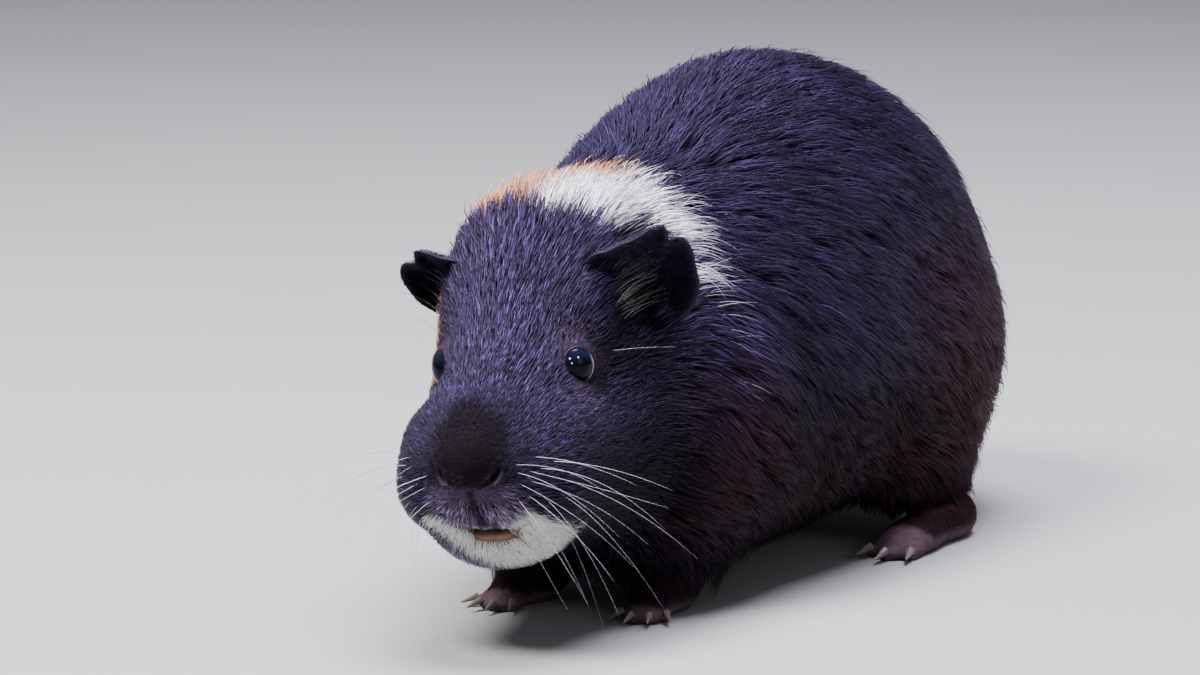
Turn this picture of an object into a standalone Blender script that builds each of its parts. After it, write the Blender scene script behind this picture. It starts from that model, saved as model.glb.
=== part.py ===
"""A life-size guinea pig, standing on all fours with its head low and turned a little to its left.

The animal faces -Y, its left side is +X, and it stands on the floor at Z = 0. Every soft form is a
named mass, an ellipsoid. The masses of the body are joined into one skin that flows smoothly from
one to the next, out to the tips of the coat, and that skin is then parted by thin cuts into the
parts that a person would name. Sizes are in millimetres, and metres() turns them into metres.
"""

import math

import bmesh
import bpy
import numpy as np
from mathutils import Euler, Matrix, Vector

GAP = 0.3  # left between two parts that meet
SHARP_ANGLE = 50.0  # an edge that turns by more degrees than this is drawn sharp

# Pose and driving dimensions, in millimetres and degrees
NOSE_TIP = (6.0, -122.0, 42.0)
HEAD_YAW, HEAD_PITCH, HEAD_ROLL = 9.0, 11.0, -4.5  # to its left, nose down, tilted
HEAD_CUT, HEAD_CUT_LEAN = (0.0, -62.0, 50.0), 16.0  # where the head meets the neck
NECK_CUT, NECK_CUT_LEAN = (0.0, -43.0, 55.0), 20.0  # where the neck meets the trunk
ANKLE_HEIGHT = 9.0
FOREFEET = {"left": (18.0, -55.0), "right": (-14.0, -57.0)}
HINDFEET = {"left": (44.0, 39.0), "right": (-43.0, 43.0)}
EYE_CENTRE, EYE_RADIUS = (12.8, 36.3, 10.2), 5.2
SIDES = {"left": 1, "right": -1}

# The fan of the toes: degrees outward, and how far each toe centre lies ahead of its foot's middle
FORE_TOES = ((-24, 7.5), (-7, 9.5), (10, 9.0), (28, 7.0))
HIND_TOES = ((-15, 14.5), (0, 16.5), (15, 14.0))

# Claws: length, radius at the root, height of the root and degrees that they droop
FORE_CLAW = (4.2, 0.9, 2.4, 14.0)
HIND_CLAW = (5.2, 1.1, 2.5, 12.0)

# The ear's rim in the head's frame, from its front root over the tip to its rear root
EAR_RIM = (
    (12.5, 50.0, 26.0),
    (22.4, 51.3, 32.0),
    (33.2, 55.0, 33.6),
    (36.2, 58.3, 28.8),
    (36.9, 60.8, 21.0),
    (31.0, 62.0, 11.0),
    (21.0, 62.0, 7.5),
)
EAR_HOLLOW = (19.0, 67.0, 16.0)  # the deepest point of its bowl
EAR_LIFT = 6.0  # degrees that the ear is turned up at its root
EAR_SWING = {"left": 0.0, "right": 26.0}  # degrees that the ear is turned forward
EAR_SIZE = {"left": 1.0, "right": 0.9}  # the right ear is drawn in
EAR_THICKNESS = 1.2
EAR_STEPS = 5  # rows of faces from the hollow to the rim
EAR_BULGE, EAR_ROLL = 8.4, 1.5  # how far the bowl swells back, and how far its rim rolls forward

# Skins: the voxel that resolves their masses, and the triangles of the whole skin
COARSE_SKIN = (3.0, 1600)
FINE_SKIN = (1.6, 4200)
FOOT_SKIN = (0.8, 270)

FUR_BLACK = (0.016, 0.014, 0.022)
SKIN_DARK = (0.12, 0.085, 0.095)
EYE_BLACK = (0.006, 0.005, 0.006)
CLAW_HORN = (0.16, 0.12, 0.10)

UP = Vector((0, 0, 1))


# ---------------------------------------------------------------- tools


def metres(value):
    """Millimetres to metres, for a number or a vector."""
    return value * 0.001


def material(name, colour, roughness):
    made = bpy.data.materials.new(name)
    made.use_nodes = True
    shader = made.node_tree.nodes["Principled BSDF"]
    shader.inputs["Base Color"].default_value = (*colour, 1.0)
    shader.inputs["Roughness"].default_value = roughness
    shader.inputs["Metallic"].default_value = 0.0
    return made


def collection(name):
    made = bpy.data.collections.new(name)
    bpy.context.scene.collection.children.link(made)
    return made


def add_object(name, mesh, group, finish):
    mesh.materials.clear()
    mesh.materials.append(finish)
    mesh.name = name
    made = bpy.data.objects.new(name, mesh)
    group.objects.link(made)
    return made


def object_from(bm, name, group, finish):
    """An object of a bmesh, which is freed."""
    mesh = bpy.data.meshes.new(name)
    bm.to_mesh(mesh)
    bm.free()
    return add_object(name, mesh, group, finish)


def copy_of(source, name, group):
    return add_object(name, source.data.copy(), group, source.data.materials[0])


def discard(*objects):
    for old in objects:
        bpy.data.objects.remove(old)


def apply_modifiers(target):
    """Makes what the modifiers give the object's own mesh."""
    graph = bpy.context.evaluated_depsgraph_get()
    graph.update()
    mesh = bpy.data.meshes.new_from_object(target.evaluated_get(graph))
    if not mesh.materials:
        mesh.materials.append(target.data.materials[0])
    target.modifiers.clear()
    target.data = mesh
    return target


def points_of(mesh):
    found = np.empty(len(mesh.vertices) * 3, np.float32)
    mesh.vertices.foreach_get("co", found)
    return found.reshape(-1, 3).astype(float)


def set_points(mesh, points):
    mesh.vertices.foreach_set("co", points.astype(np.float32).ravel())
    mesh.update()


def shade_smooth(target):
    """Smooth shading, but for the edges of the cuts."""
    target.data.polygons.foreach_set("use_smooth", [True] * len(target.data.polygons))
    target.data.set_sharp_from_angle(angle=math.radians(SHARP_ANGLE))


# ---------------------------------------------------------------- masses


class Mass:
    """An ellipsoid with a name, placed in a frame, that blends softly into its neighbours."""

    def __init__(self, name, centre, radii, turn=(0, 0, 0), blend=8.0, frame=None):
        self.name = name
        self.radii = metres(Vector(radii))
        self.blend = metres(blend)
        turned = Euler([math.radians(angle) for angle in turn]).to_matrix().to_4x4()
        placed = Matrix.Translation(metres(Vector(centre))) @ turned
        self.matrix = frame @ placed if frame else placed

    def distance(self, points):
        """About how far each point lies outside the ellipsoid; below 0 is inside it."""
        inverse = np.array(self.matrix.inverted())
        radii = np.array(self.radii)
        local = points @ inverse[:3, :3].T + inverse[:3, 3]
        scaled = np.linalg.norm(local / radii, axis=1)
        steep = np.linalg.norm(local / radii**2, axis=1)
        return scaled * (scaled - 1) / np.maximum(steep, 1e-9)

    def add_to(self, bm, grow=0.0):
        """Adds the ellipsoid, grown by so many millimetres on every side."""
        radii = self.radii + Vector((1, 1, 1)) * metres(grow)
        matrix = self.matrix @ Matrix.Diagonal((*radii, 1.0))
        bmesh.ops.create_uvsphere(bm, u_segments=16, v_segments=10, radius=1, matrix=matrix)


def pair(name, centre, radii, turn=(0, 0, 0), **more):
    """The same mass on the left and on the right."""
    x, y, z = centre
    pitch, roll, yaw = turn
    return [
        Mass(f"{name}_left", (x, y, z), radii, (pitch, roll, yaw), **more),
        Mass(f"{name}_right", (-x, y, z), radii, (pitch, -roll, -yaw), **more),
    ]


def blended_distance(masses, points):
    """The distance to all the masses together, rounded where two of them meet."""
    total = masses[0].distance(points)
    for mass in masses[1:]:
        other = mass.distance(points)
        near = np.maximum(mass.blend - np.abs(total - other), 0) / mass.blend
        total = np.minimum(total, other) - near**2 * mass.blend / 4
    return total


def slope(masses, points):
    """Which way blended_distance rises at each point, and how fast."""
    step = metres(0.02)
    columns = []
    for axis in np.eye(3):
        ahead = blended_distance(masses, points + step * axis)
        behind = blended_distance(masses, points - step * axis)
        columns.append((ahead - behind) / (2 * step))
    return np.stack(columns, 1)


def settle(masses, points, rounds=4):
    """Moves points onto the blended surface."""
    for _ in range(rounds):
        rise = slope(masses, points)
        steepness = np.maximum((rise**2).sum(1, keepdims=True), 0.05)
        points = points - blended_distance(masses, points)[:, None] * rise / steepness
    return points


def blended_solid(name, masses, voxel, faces, group, finish):
    """One closed solid: the masses' union, settled on their blend, in about this many triangles."""
    bm = bmesh.new()
    for mass in masses:
        mass.add_to(bm)
    solid = object_from(bm, name, group, finish)
    remesh = solid.modifiers.new("Union", "REMESH")
    remesh.mode = "VOXEL"
    remesh.voxel_size = metres(voxel)
    apply_modifiers(solid)
    for _ in range(3):
        set_points(solid.data, settle(masses, points_of(solid.data)))
        relax = solid.modifiers.new("Relax", "SMOOTH")
        relax.factor, relax.iterations = 0.5, 3
        apply_modifiers(solid)
    set_points(solid.data, settle(masses, points_of(solid.data)))
    fewer = solid.modifiers.new("Fewer", "DECIMATE")
    fewer.ratio = min(1.0, faces / (2 * len(solid.data.polygons)))
    return apply_modifiers(solid)


# ---------------------------------------------------------------- cutting


def boolean(target, other, operation):
    cut = target.modifiers.new(operation.title(), "BOOLEAN")
    cut.object, cut.operation, cut.solver = other, operation, "EXACT"
    return apply_modifiers(target)


def cut_away(target, cutters):
    """Takes the cutters out of the target and removes them."""
    for tool in cutters:
        boolean(target, tool, "DIFFERENCE")
        discard(tool)
    return target


def keep_largest_piece(target):
    """Drops the loose slivers that a cut across a slanting surface can leave."""
    bm = bmesh.new()
    bm.from_mesh(target.data)
    waiting = set(bm.verts)
    pieces = []
    while waiting:
        piece, edge_of_piece = set(), [waiting.pop()]
        while edge_of_piece:
            vertex = edge_of_piece.pop()
            piece.add(vertex)
            near = {edge.other_vert(vertex) for edge in vertex.link_edges}
            edge_of_piece += list(near & waiting)
            waiting -= near
        pieces.append(piece)
    pieces.sort(key=len)
    bmesh.ops.delete(bm, geom=[vertex for piece in pieces[:-1] for vertex in piece])
    bm.to_mesh(target.data)
    bm.free()
    return target


def as_cutter(target):
    target.hide_render = True
    target.display_type = "WIRE"
    return target


def grown_copy(source, grow, group):
    """A copy pushed out along its normals, to cut a neighbour clear of the source."""
    made = as_cutter(copy_of(source, f"clear_of_{source.name}", group))
    swell = made.modifiers.new("Grow", "DISPLACE")
    swell.strength, swell.mid_level = metres(grow), 0.0
    return apply_modifiers(made)


def mass_cutter(name, mass, grow, group, finish):
    bm = bmesh.new()
    mass.add_to(bm, grow)
    return as_cutter(object_from(bm, name, group, finish))


def leaning_cut(point, lean, yaw=0.0):
    """A point in metres and a normal, for a cross-cut whose upper edge leans back by so many degrees."""
    turn = Euler((math.radians(-lean), 0, math.radians(yaw)))
    return metres(Vector(point)), turn.to_matrix() @ Vector((0, 1, 0))


def keep_behind(target, point, normal):
    """Cuts a solid by a plane, drops what the normal points at, and closes the cut."""
    bm = bmesh.new()
    bm.from_mesh(target.data)
    everything = bm.verts[:] + bm.edges[:] + bm.faces[:]
    cut = bmesh.ops.bisect_plane(
        bm, geom=everything, dist=1e-7, plane_co=point, plane_no=normal, clear_outer=True
    )
    rim = [item for item in cut["geom_cut"] if isinstance(item, bmesh.types.BMEdge)]
    filled = bmesh.ops.holes_fill(bm, edges=rim)
    bmesh.ops.triangulate(bm, faces=filled["faces"])
    bm.to_mesh(target.data)
    bm.free()
    return target


def part_by_mass(whole, name, mass, group, helpers):
    """Takes what lies inside an ellipsoid out of a solid, as a part of its own."""
    finish = whole.data.materials[0]
    inner = mass_cutter(f"inside_{name}", mass, 0, helpers, finish)
    outer = mass_cutter(f"outside_{name}", mass, GAP, helpers, finish)
    part = boolean(copy_of(whole, name, group), inner, "INTERSECT")
    boolean(whole, outer, "DIFFERENCE")
    discard(inner, outer)
    return part


# ---------------------------------------------------------------- frames


def head_frame():
    """The head's own frame: origin at the nose tip, +Y back along the skull, +Z up from it."""
    turn = (
        Matrix.Rotation(math.radians(HEAD_YAW), 4, "Z")
        @ Matrix.Rotation(math.radians(HEAD_PITCH), 4, "X")
        @ Matrix.Rotation(math.radians(HEAD_ROLL), 4, "Y")
    )
    return Matrix.Translation(metres(Vector(NOSE_TIP))) @ turn


def foot_frame(place, turn):
    """A foot's frame: origin on the floor under its middle, toes toward -Y, turned outward."""
    return Matrix.Translation(metres(Vector((*place, 0)))) @ Matrix.Rotation(turn, 4, "Z")


# ---------------------------------------------------------------- the body's masses


def trunk_masses():
    return [
        Mass("loin", (1, 32, 64), (42, 60, 52), blend=20),
        Mass("ribcage", (1, -10, 57), (37, 50, 41), blend=24),
        Mass("rump", (0, 70, 58), (41, 44, 43), blend=24),
        Mass("belly", (0, 16, 41), (43, 64, 28), blend=20),
        Mass("sternum", (2, -18, 32), (29, 34, 21), blend=14),
        *pair("thigh", (33, 60, 35), (15, 33, 25), blend=14),
        *pair("buttock", (21, 84, 42), (20, 26, 25), blend=14),
        *pair("shoulder", (22, -38, 45), (17, 27, 31), blend=14),
        Mass("brisket", (2, -45, 33), (23, 26, 23), blend=14),
        Mass("nape", (-4, -53, 67), (26, 34, 29), blend=16),
    ]


def foreleg_mass(side):
    x, y = FOREFEET[side]
    return Mass(f"forearm_{side}", (x, y + 7, 18), (8, 9.5, 18), (15, 0, 0), blend=8)


def shank_mass(side):
    x, y = HINDFEET[side]
    return Mass(f"shank_{side}", (x - 5 * SIDES[side], y + 13, 17), (8, 19, 12), blend=8)


def head_masses(frame):
    here = {"frame": frame}
    return [
        Mass("cranium", (0, 57, 9), (21, 24, 21), blend=12, **here),
        Mass("brow", (0, 42, 8.5), (13.5, 20, 14.5), blend=8, **here),
        Mass("bridge", (0, 26, 5), (11, 21, 11.5), blend=8, **here),
        Mass("muzzle", (0, 17, -4), (14.5, 16.5, 13), blend=7, **here),
        Mass("nose", (0, 5.5, 0), (7, 6.5, 6.5), blend=5, **here),
        *pair("whisker_pad", (10, 13, -7.5), (10, 11.5, 10), blend=6, **here),
        *pair("upper_lip", (11.5, 27, -6.5), (11.5, 16, 12.5), blend=7, **here),
        *pair("orbit", (8.5, 40, 10.5), (6.5, 8.5, 7.5), blend=5, **here),
        *pair("cheek", (12, 47, -11), (13, 21, 14), blend=10, **here),
        *pair("jowl", (13, 60, -14), (13, 20, 16), blend=10, **here),
        Mass("jaw", (0, 34, -18), (17, 24, 11), blend=8, **here),
        Mass("chin", (0, 17, -18), (14, 12, 9), blend=5, **here),
        Mass("throat", (0, 54, -20), (20, 25, 15), blend=10, **here),
    ]


# ---------------------------------------------------------------- feet, claws, ears and eyes


def toe_placements(fan, side, reach):
    """For each toe of a fan: its name's number, its heading and how far ahead its tip lies."""
    for number, (outward, ahead) in enumerate(fan, 1):
        heading = Matrix.Rotation(math.radians(outward) * SIDES[side], 4, "Z")
        yield number, heading, ahead + reach


def foot_masses(side, frame, fan, toe_radii, pads):
    masses = [Mass(name, centre, radii, blend=4, frame=frame) for name, centre, radii in pads]
    for number, heading, ahead in toe_placements(fan, side, 0):
        placed = frame @ heading
        masses.append(
            Mass(f"toe_{number}", (0, -ahead, 1.7), toe_radii, (6, 0, 0), 2.0, placed)
        )
    return masses


def claw(name, placed, size, group, finish):
    """A short pointed claw that leaves the toe tip forward and a little down."""
    length, radius, height, droop = size
    point_forward = Matrix.Rotation(math.radians(90 + droop), 4, "X")
    root = Matrix.Translation(metres(Vector((0, 0, height))))
    middle = Matrix.Translation(metres(Vector((0, 0, length / 2))))
    bm = bmesh.new()
    bmesh.ops.create_cone(
        bm,
        cap_ends=True,
        cap_tris=True,
        segments=7,
        radius1=metres(radius),
        radius2=metres(radius / 5),
        depth=metres(length),
        matrix=placed @ root @ point_forward @ middle,
    )
    return object_from(bm, name, group, finish)


def foot(name, side, masses, frame, toes, claw_size, stage):
    """A foot on a flat sole, cut off level at the ankle, with its claws set into its toes."""
    fan, reach = toes
    made = blended_solid(name, masses, *FOOT_SKIN, stage.body, stage.skin)
    keep_behind(made, metres(UP * (ANKLE_HEIGHT - GAP / 2)), UP)
    keep_behind(made, Vector(), -UP)
    for number, heading, ahead in toe_placements(fan, side, reach):
        placed = frame @ heading @ Matrix.Translation(metres(Vector((0, -ahead, 0))))
        nail = claw(f"{name}_claw_{number}", placed, claw_size, stage.body, stage.horn)
        cut_away(made, [grown_copy(nail, GAP, stage.helpers)])
    return made


def smooth_rim(points, steps):
    """More points along the ear's rim, on a curve through the named ones."""
    known = np.array(points)
    along = np.linspace(0, len(known) - 1, steps * (len(known) - 1) + 1)
    padded = np.vstack([2 * known[0] - known[1], known, 2 * known[-1] - known[-2]])
    result = []
    for place in along:
        start = min(int(place), len(known) - 2)
        t = place - start
        before, here, after, beyond = padded[start : start + 4]
        bend = 2 * before - 5 * here + 4 * after - beyond
        twist = 3 * (here - after) + beyond - before
        result.append(here + 0.5 * t * ((after - before) + t * (bend + t * twist)))
    return np.array(result)


def ear(name, side, frame, group, skin):
    """A petal cupped about its hollow, with the upper edge rolled forward."""
    root = metres(Vector((EAR_HOLLOW[0] * SIDES[side], *EAR_HOLLOW[1:])))
    lift = Matrix.Rotation(-math.radians(EAR_LIFT) * SIDES[side], 4, "Y")
    swing = Matrix.Rotation(-math.radians(EAR_SWING[side]) * SIDES[side], 4, "Z")
    placed = frame @ Matrix.Translation(root) @ lift @ swing @ Matrix.Translation(-root)
    hollow = np.array(EAR_HOLLOW) * (SIDES[side], 1, 1)
    rim = smooth_rim(EAR_RIM, 2) * (SIDES[side], 1, 1)
    rim = hollow + (rim - hollow) * EAR_SIZE[side]
    bm = bmesh.new()
    rows = []
    for step in range(1, EAR_STEPS + 1):
        share = step / EAR_STEPS
        row = []
        for position in range(len(rim)):
            over = math.sin(math.pi * position / (len(rim) - 1))
            point = Vector(hollow + (rim[position] - hollow) * share)
            point.y += EAR_BULGE * over * (share - share**2)
            point.y -= EAR_ROLL * over * share**4
            row.append(bm.verts.new(placed @ metres(point)))
        rows.append(row)
    for inner, outer in zip(rows, rows[1:]):
        for place in range(len(rim) - 1):
            bm.faces.new((inner[place], inner[place + 1], outer[place + 1], outer[place]))
    bmesh.ops.recalc_face_normals(bm, faces=bm.faces[:])
    made = object_from(bm, name, group, skin)
    thick = made.modifiers.new("Thickness", "SOLIDIFY")
    thick.thickness, thick.offset = metres(EAR_THICKNESS), 0.0
    return apply_modifiers(made)


def eye(name, side, frame, group, finish):
    x, y, z = EYE_CENTRE
    matrix = frame @ Matrix.Translation(metres(Vector((x * SIDES[side], y, z))))
    bm = bmesh.new()
    bmesh.ops.create_icosphere(bm, subdivisions=3, radius=metres(EYE_RADIUS), matrix=matrix)
    return object_from(bm, name, group, finish)


def stand_on_origin(group):
    """Centres the whole animal on the origin, with its lowest points left at Z = 0."""
    everything = np.vstack([points_of(part.data) for part in group.objects])
    middle = (everything.min(0) + everything.max(0)) / 2
    for part in group.objects:
        part.data.transform(Matrix.Translation((-middle[0], -middle[1], 0)))


# ---------------------------------------------------------------- the animal


class Stage:
    """The collections that hold the animal and its cutters, and the finishes."""

    def __init__(self):
        self.body = collection("guinea_pig")
        self.helpers = collection("cutters")
        self.helpers.hide_render = True
        self.fur = material("black_fur", FUR_BLACK, 0.55)
        self.skin = material("dark_skin", SKIN_DARK, 0.6)
        self.wet = material("eye_black", EYE_BLACK, 0.05)
        self.horn = material("claw_horn", CLAW_HORN, 0.4)


def body_masses(frame):
    masses = trunk_masses()
    for side in SIDES:
        masses += [foreleg_mass(side), shank_mass(side)]
    return masses + head_masses(frame)


def add_trunk_neck_and_legs(masses, stage):
    """All behind the head and above the ankles, from one coarse skin."""
    trunk = blended_solid("trunk", masses, *COARSE_SKIN, stage.body, stage.fur)
    keep_behind(trunk, metres(UP * (ANKLE_HEIGHT + GAP / 2)), -UP)
    head_cut, back = leaning_cut(HEAD_CUT, HEAD_CUT_LEAN, HEAD_YAW)
    keep_behind(trunk, head_cut + back * metres(GAP / 2), -back)
    for side, sign in SIDES.items():
        x, y = FOREFEET[side]
        upper_arm = Mass("foreleg", (x + 2 * sign, y + 10, 20), (15, 20, 27), (12, 0, 0))
        part_by_mass(trunk, f"foreleg_{side}", upper_arm, stage.body, stage.helpers)
        x, y = HINDFEET[side]
        haunch = Mass("hindleg", (x - 5 * sign, y + 16, 26), (20, 33, 30))
        part_by_mass(trunk, f"hindleg_{side}", haunch, stage.body, stage.helpers)
    neck = copy_of(trunk, "neck", stage.body)
    neck_cut, back = leaning_cut(NECK_CUT, NECK_CUT_LEAN)
    keep_behind(neck, neck_cut - back * metres(GAP / 2), back)
    keep_behind(trunk, neck_cut + back * metres(GAP / 2), -back)


def add_head(masses, frame, stage):
    """The head from a fine skin, with its eyes in sockets, its ears, nostrils and jaw."""
    head = blended_solid("head", masses, *FINE_SKIN, stage.body, stage.fur)
    head_cut, back = leaning_cut(HEAD_CUT, HEAD_CUT_LEAN, HEAD_YAW)
    keep_behind(head, head_cut - back * metres(GAP / 2), back)
    for side in SIDES:
        eyeball = eye(f"eye_{side}", side, frame, stage.body, stage.wet)
        petal = ear(f"ear_{side}", side, frame, stage.body, stage.skin)
        cut_away(petal, [grown_copy(head, GAP, stage.helpers)])
        cut_away(head, [grown_copy(eyeball, GAP, stage.helpers)])
    for slit in pair("nostril", (3.9, 1.5, -1.6), (2.3, 3.0, 0.9), (0, -25, 20), frame=frame):
        cut_away(head, [mass_cutter(slit.name, slit, 0, stage.helpers, stage.fur)])
    jaw = Mass("lower_jaw", (0, 20, -28), (22, 25, 12.5), frame=frame)
    part_by_mass(head, "lower_jaw", jaw, stage.body, stage.helpers)


def add_feet(stage):
    for side, sign in SIDES.items():
        frame = foot_frame(FOREFEET[side], math.radians(8) * sign)
        pads = (("palm", (0, 0, 3.4), (6, 7.5, 4.4)), ("wrist", (0, 5, 7), (6, 6, 7)))
        masses = foot_masses(side, frame, FORE_TOES, (1.9, 5.0, 1.9), pads)
        masses.append(foreleg_mass(side))
        foot(f"forefoot_{side}", side, masses, frame, (FORE_TOES, 4.0), FORE_CLAW, stage)
        frame = foot_frame(HINDFEET[side], math.radians(-4) * sign)
        pads = (
            ("ball", (0, -8, 3.2), (6, 9, 4)),
            ("sole", (0, 4, 3.4), (5, 14, 4.2)),
            ("heel", (0, 15, 4), (4.8, 8, 5)),
            ("ankle", (0, 9, 7.5), (5, 10, 5)),
        )
        masses = foot_masses(side, frame, HIND_TOES, (2.2, 6.0, 2.1), pads)
        foot(f"hindfoot_{side}", side, masses, frame, (HIND_TOES, 5.0), HIND_CLAW, stage)


def main():
    discard(*bpy.data.objects)
    stage = Stage()
    frame = head_frame()
    masses = body_masses(frame)
    add_trunk_neck_and_legs(masses, stage)
    add_head(masses, frame, stage)
    add_feet(stage)
    for part in stage.body.objects:
        shade_smooth(keep_largest_piece(part))
    stand_on_origin(stage.body)


main()
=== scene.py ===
"""Looks of the guinea pig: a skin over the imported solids, a coat of solid tufts, lids, eyes and long hairs.

Lengths are in millimetres until a mesh is written. "local" places are in the head's own frame: origin at
the nose tip, x to the animal's left, y back, z up. A colour's three numbers are linear.
"""

import math

import bmesh
import bpy
import numpy as np
from mathutils import Euler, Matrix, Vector
from mathutils.kdtree import KDTree


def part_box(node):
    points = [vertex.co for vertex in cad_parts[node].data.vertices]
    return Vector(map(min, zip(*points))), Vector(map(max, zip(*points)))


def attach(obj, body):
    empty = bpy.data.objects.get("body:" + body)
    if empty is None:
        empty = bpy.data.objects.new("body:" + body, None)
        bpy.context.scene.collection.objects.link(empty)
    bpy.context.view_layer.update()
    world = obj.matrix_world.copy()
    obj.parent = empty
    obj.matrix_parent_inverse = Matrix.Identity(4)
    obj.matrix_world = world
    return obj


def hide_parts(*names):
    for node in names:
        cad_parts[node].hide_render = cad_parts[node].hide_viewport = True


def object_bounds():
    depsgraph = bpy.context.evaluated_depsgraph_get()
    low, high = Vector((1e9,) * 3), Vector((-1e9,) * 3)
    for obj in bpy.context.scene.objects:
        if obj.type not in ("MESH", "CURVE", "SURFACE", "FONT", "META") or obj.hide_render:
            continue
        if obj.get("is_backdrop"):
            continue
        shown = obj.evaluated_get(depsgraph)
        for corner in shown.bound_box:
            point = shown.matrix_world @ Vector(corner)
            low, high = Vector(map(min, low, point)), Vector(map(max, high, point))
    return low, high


MM = 0.001

# Each thing that is drawn at random has a seed of its own. RNG grows the coat.
RNG = np.random.default_rng(41)
WHISKER_SEED, WISP_SEED, EAR_HAIR_SEED, BROW_HAIR_SEED = 8, 19, 29, 37
# Smooth fields: the size of their features, and a seed.
STAIN, FINE, FRAY, CURL = (26, 3), (9, 5), (1.3, 7), (7, 23)
DRIFT_SEED = 11

# The head's turns about x, y and z in degrees. Its landmarks follow, in its own frame.
HEAD_TURN = (11.0, -4.5, 9.0)
EYE_CENTRE = np.array((12.8, 36.3, 10.2))
EYE_RADIUS = 5.2
GAZE = np.array((0.70, -0.69, 0.17))
# How much further than the ball the cornea reaches, as a share.
CORNEA = 0.035
# How far off the gaze the lids open, in degrees: fore and aft, up and down, and more at the corner.
OPEN_WIDE, OPEN_TALL, OPEN_CORNER = 35.5, 42.5, 7.0
# An ear's outline, from the crown outward and round to the cheek.
EAR_RIM = (
    (12.5, 50.0, 26.0), (17.5, 50.3, 30.5), (22.4, 51.3, 32.0), (28.5, 53.0, 33.0), (33.2, 55.2, 33.8),
    (33.6, 57.0, 29.6), (36.4, 58.5, 28.6), (37.0, 60.6, 21.0), (34.8, 61.6, 14.0), (29.0, 62.0, 9.3),
    (21.0, 62.0, 7.5),
)
BEFORE_EAR = np.array((16.0, 47.0, 22.0))
UNDER_EYE = np.array((15.5, 29.0, 4.8))
UNDER_EYE_SIZE = np.array((7, 5.0, 3.4))
EAR_HOLLOW = np.array((19.0, 67.0, 16.0))
EAR_MOUTH = np.array((24.5, 57.5, 18.0))
EAR_MOUTH_SIZE = np.array((8.5, 9.0, 9.5))
MUZZLE = np.array((0, 5, -7.5))
# The skin is finer this near to the muzzle's middle and to an eye's centre.
MUZZLE_REACH, EYE_REACH = 14.5, 8.5
SHIELD = np.array((-0.5, 5.5, 4.0))
SHIELD_SIZE = np.array((9.3, 10.2, 9.3))
# The ears' lift and swing in degrees, their size and tuck as shares, their bulge and roll in
# millimetres, and a petal's points round its rim and towards it.
EAR_LIFT = 6.0
EAR_SWING = {"left": 0.0, "right": 26.0}
EAR_SIZE = {"left": 1.0, "right": 0.9}
EAR_TUCK = {"left": 1.0, "right": 0.6}
EAR_BULGE, EAR_ROLL = 8.4, 1.5
EAR_STEPS = (85, 26)
# How far to the left the mouth's middle lies.
LIP_SHIFT = 2.3
# The plane that parts the head from the neck, in the row frame.
HEAD_PLANE_POINT = np.array((0.0, -57.3, 50.0))
HEAD_PLANE_LEAN = math.radians(16.0)

# The tan patches on the head's right side, at the cheek and below the ear.
TAN_CHEEK = np.array((-24, 53.5, 12.5))
TAN_CHEEK_SIZE = np.array((12, 12.5, 14))
TAN_EAR = np.array((-26, 67, 6))
TAN_EAR_SIZE = np.array((12, 13, 12))

SIDES = (("left", 1.0), ("right", -1.0))
FLESH = (
    "trunk", "neck", "head", "lower_jaw", "foreleg_left", "foreleg_right", "hindleg_left", "hindleg_right",
    "forefoot_left", "forefoot_right", "hindfoot_left", "hindfoot_right",
)

# The flesh grows a little, so that its solids run together when they are drawn over.
SKIN_GROWTH = 0.26
SKIN_VOXEL = 1.25

# Linear colours.
BLACK = np.array((0.0062, 0.0048, 0.0092))
# Painted shade for the lower body.
UNDERSIDE_SHADE = np.array((0.0046, 0.0031, 0.0034))
# Painted sky sheen on black fur that faces up, and the colour of its light hairs.
SKY_SHEEN_VIOLET = np.array((0.082, 0.052, 0.180))
RUST = np.array((0.044, 0.0092, 0.0050))
WHITE = np.array((0.985, 0.97, 1.0))
TAN = np.array((0.68, 0.33, 0.15))
NOSE_BROWN = np.array((0.0042, 0.0026, 0.0028))
LIP_GREY = np.array((0.072, 0.052, 0.080))
LIP_RED = np.array((0.165, 0.088, 0.062))
LIP_PALE = np.array((0.36, 0.30, 0.42))
FOOT_PINK = np.array((0.082, 0.050, 0.062))
# Painted reflection on the lids' wet rear edge.
LID_SHINE = np.array((0.20, 0.17, 0.27))
EYE_BLACK = np.array((0.0022, 0.0018, 0.0022))
# Painted sky reflection in the upper half of each eye.
EYE_SKY_REFLECTION = np.array((0.0058, 0.0072, 0.0205))
CREAM = np.array((0.84, 0.84, 0.78))
WISP = np.array((0.80, 0.78, 0.88))
WHISKER_WHITE = np.array((0.86, 0.86, 0.92))
EAR_HAIR_PALE = np.array((0.27, 0.27, 0.23))

# The white collar's edges at the roots, as y at heights z. Its hair lies back over the black.
COLLAR_LEVELS = (62, 70, 75, 80, 86, 90, 94)
COLLAR_FRONT = (-55, -57, -58, -62, -68.5, -71, -66)
COLLAR_REAR = (-60, -57.5, -53, -49, -44.5, -43, -42)


def unit(v):
    v = np.asarray(v, float)
    return v / (np.linalg.norm(v, axis=-1, keepdims=True) + 1e-12)


def ramp(x, low, high):
    """0 below low, 1 above high, and smooth between. low may be above high."""
    t = np.clip((x - low) / (high - low), 0, 1)
    return t * t * (3 - 2 * t)


def bell(x, width):
    """1 at 0, falling away to either side over that width."""
    return np.exp(-((x / width) ** 2))


def mix(a, b, t):
    """a where t is 0, b where t is 1."""
    return a + (b - a) * t


def mix_colour(a, b, t):
    """mix for rows of colours, with one t for each row."""
    return a + (b - a) * t[:, None]


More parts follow.
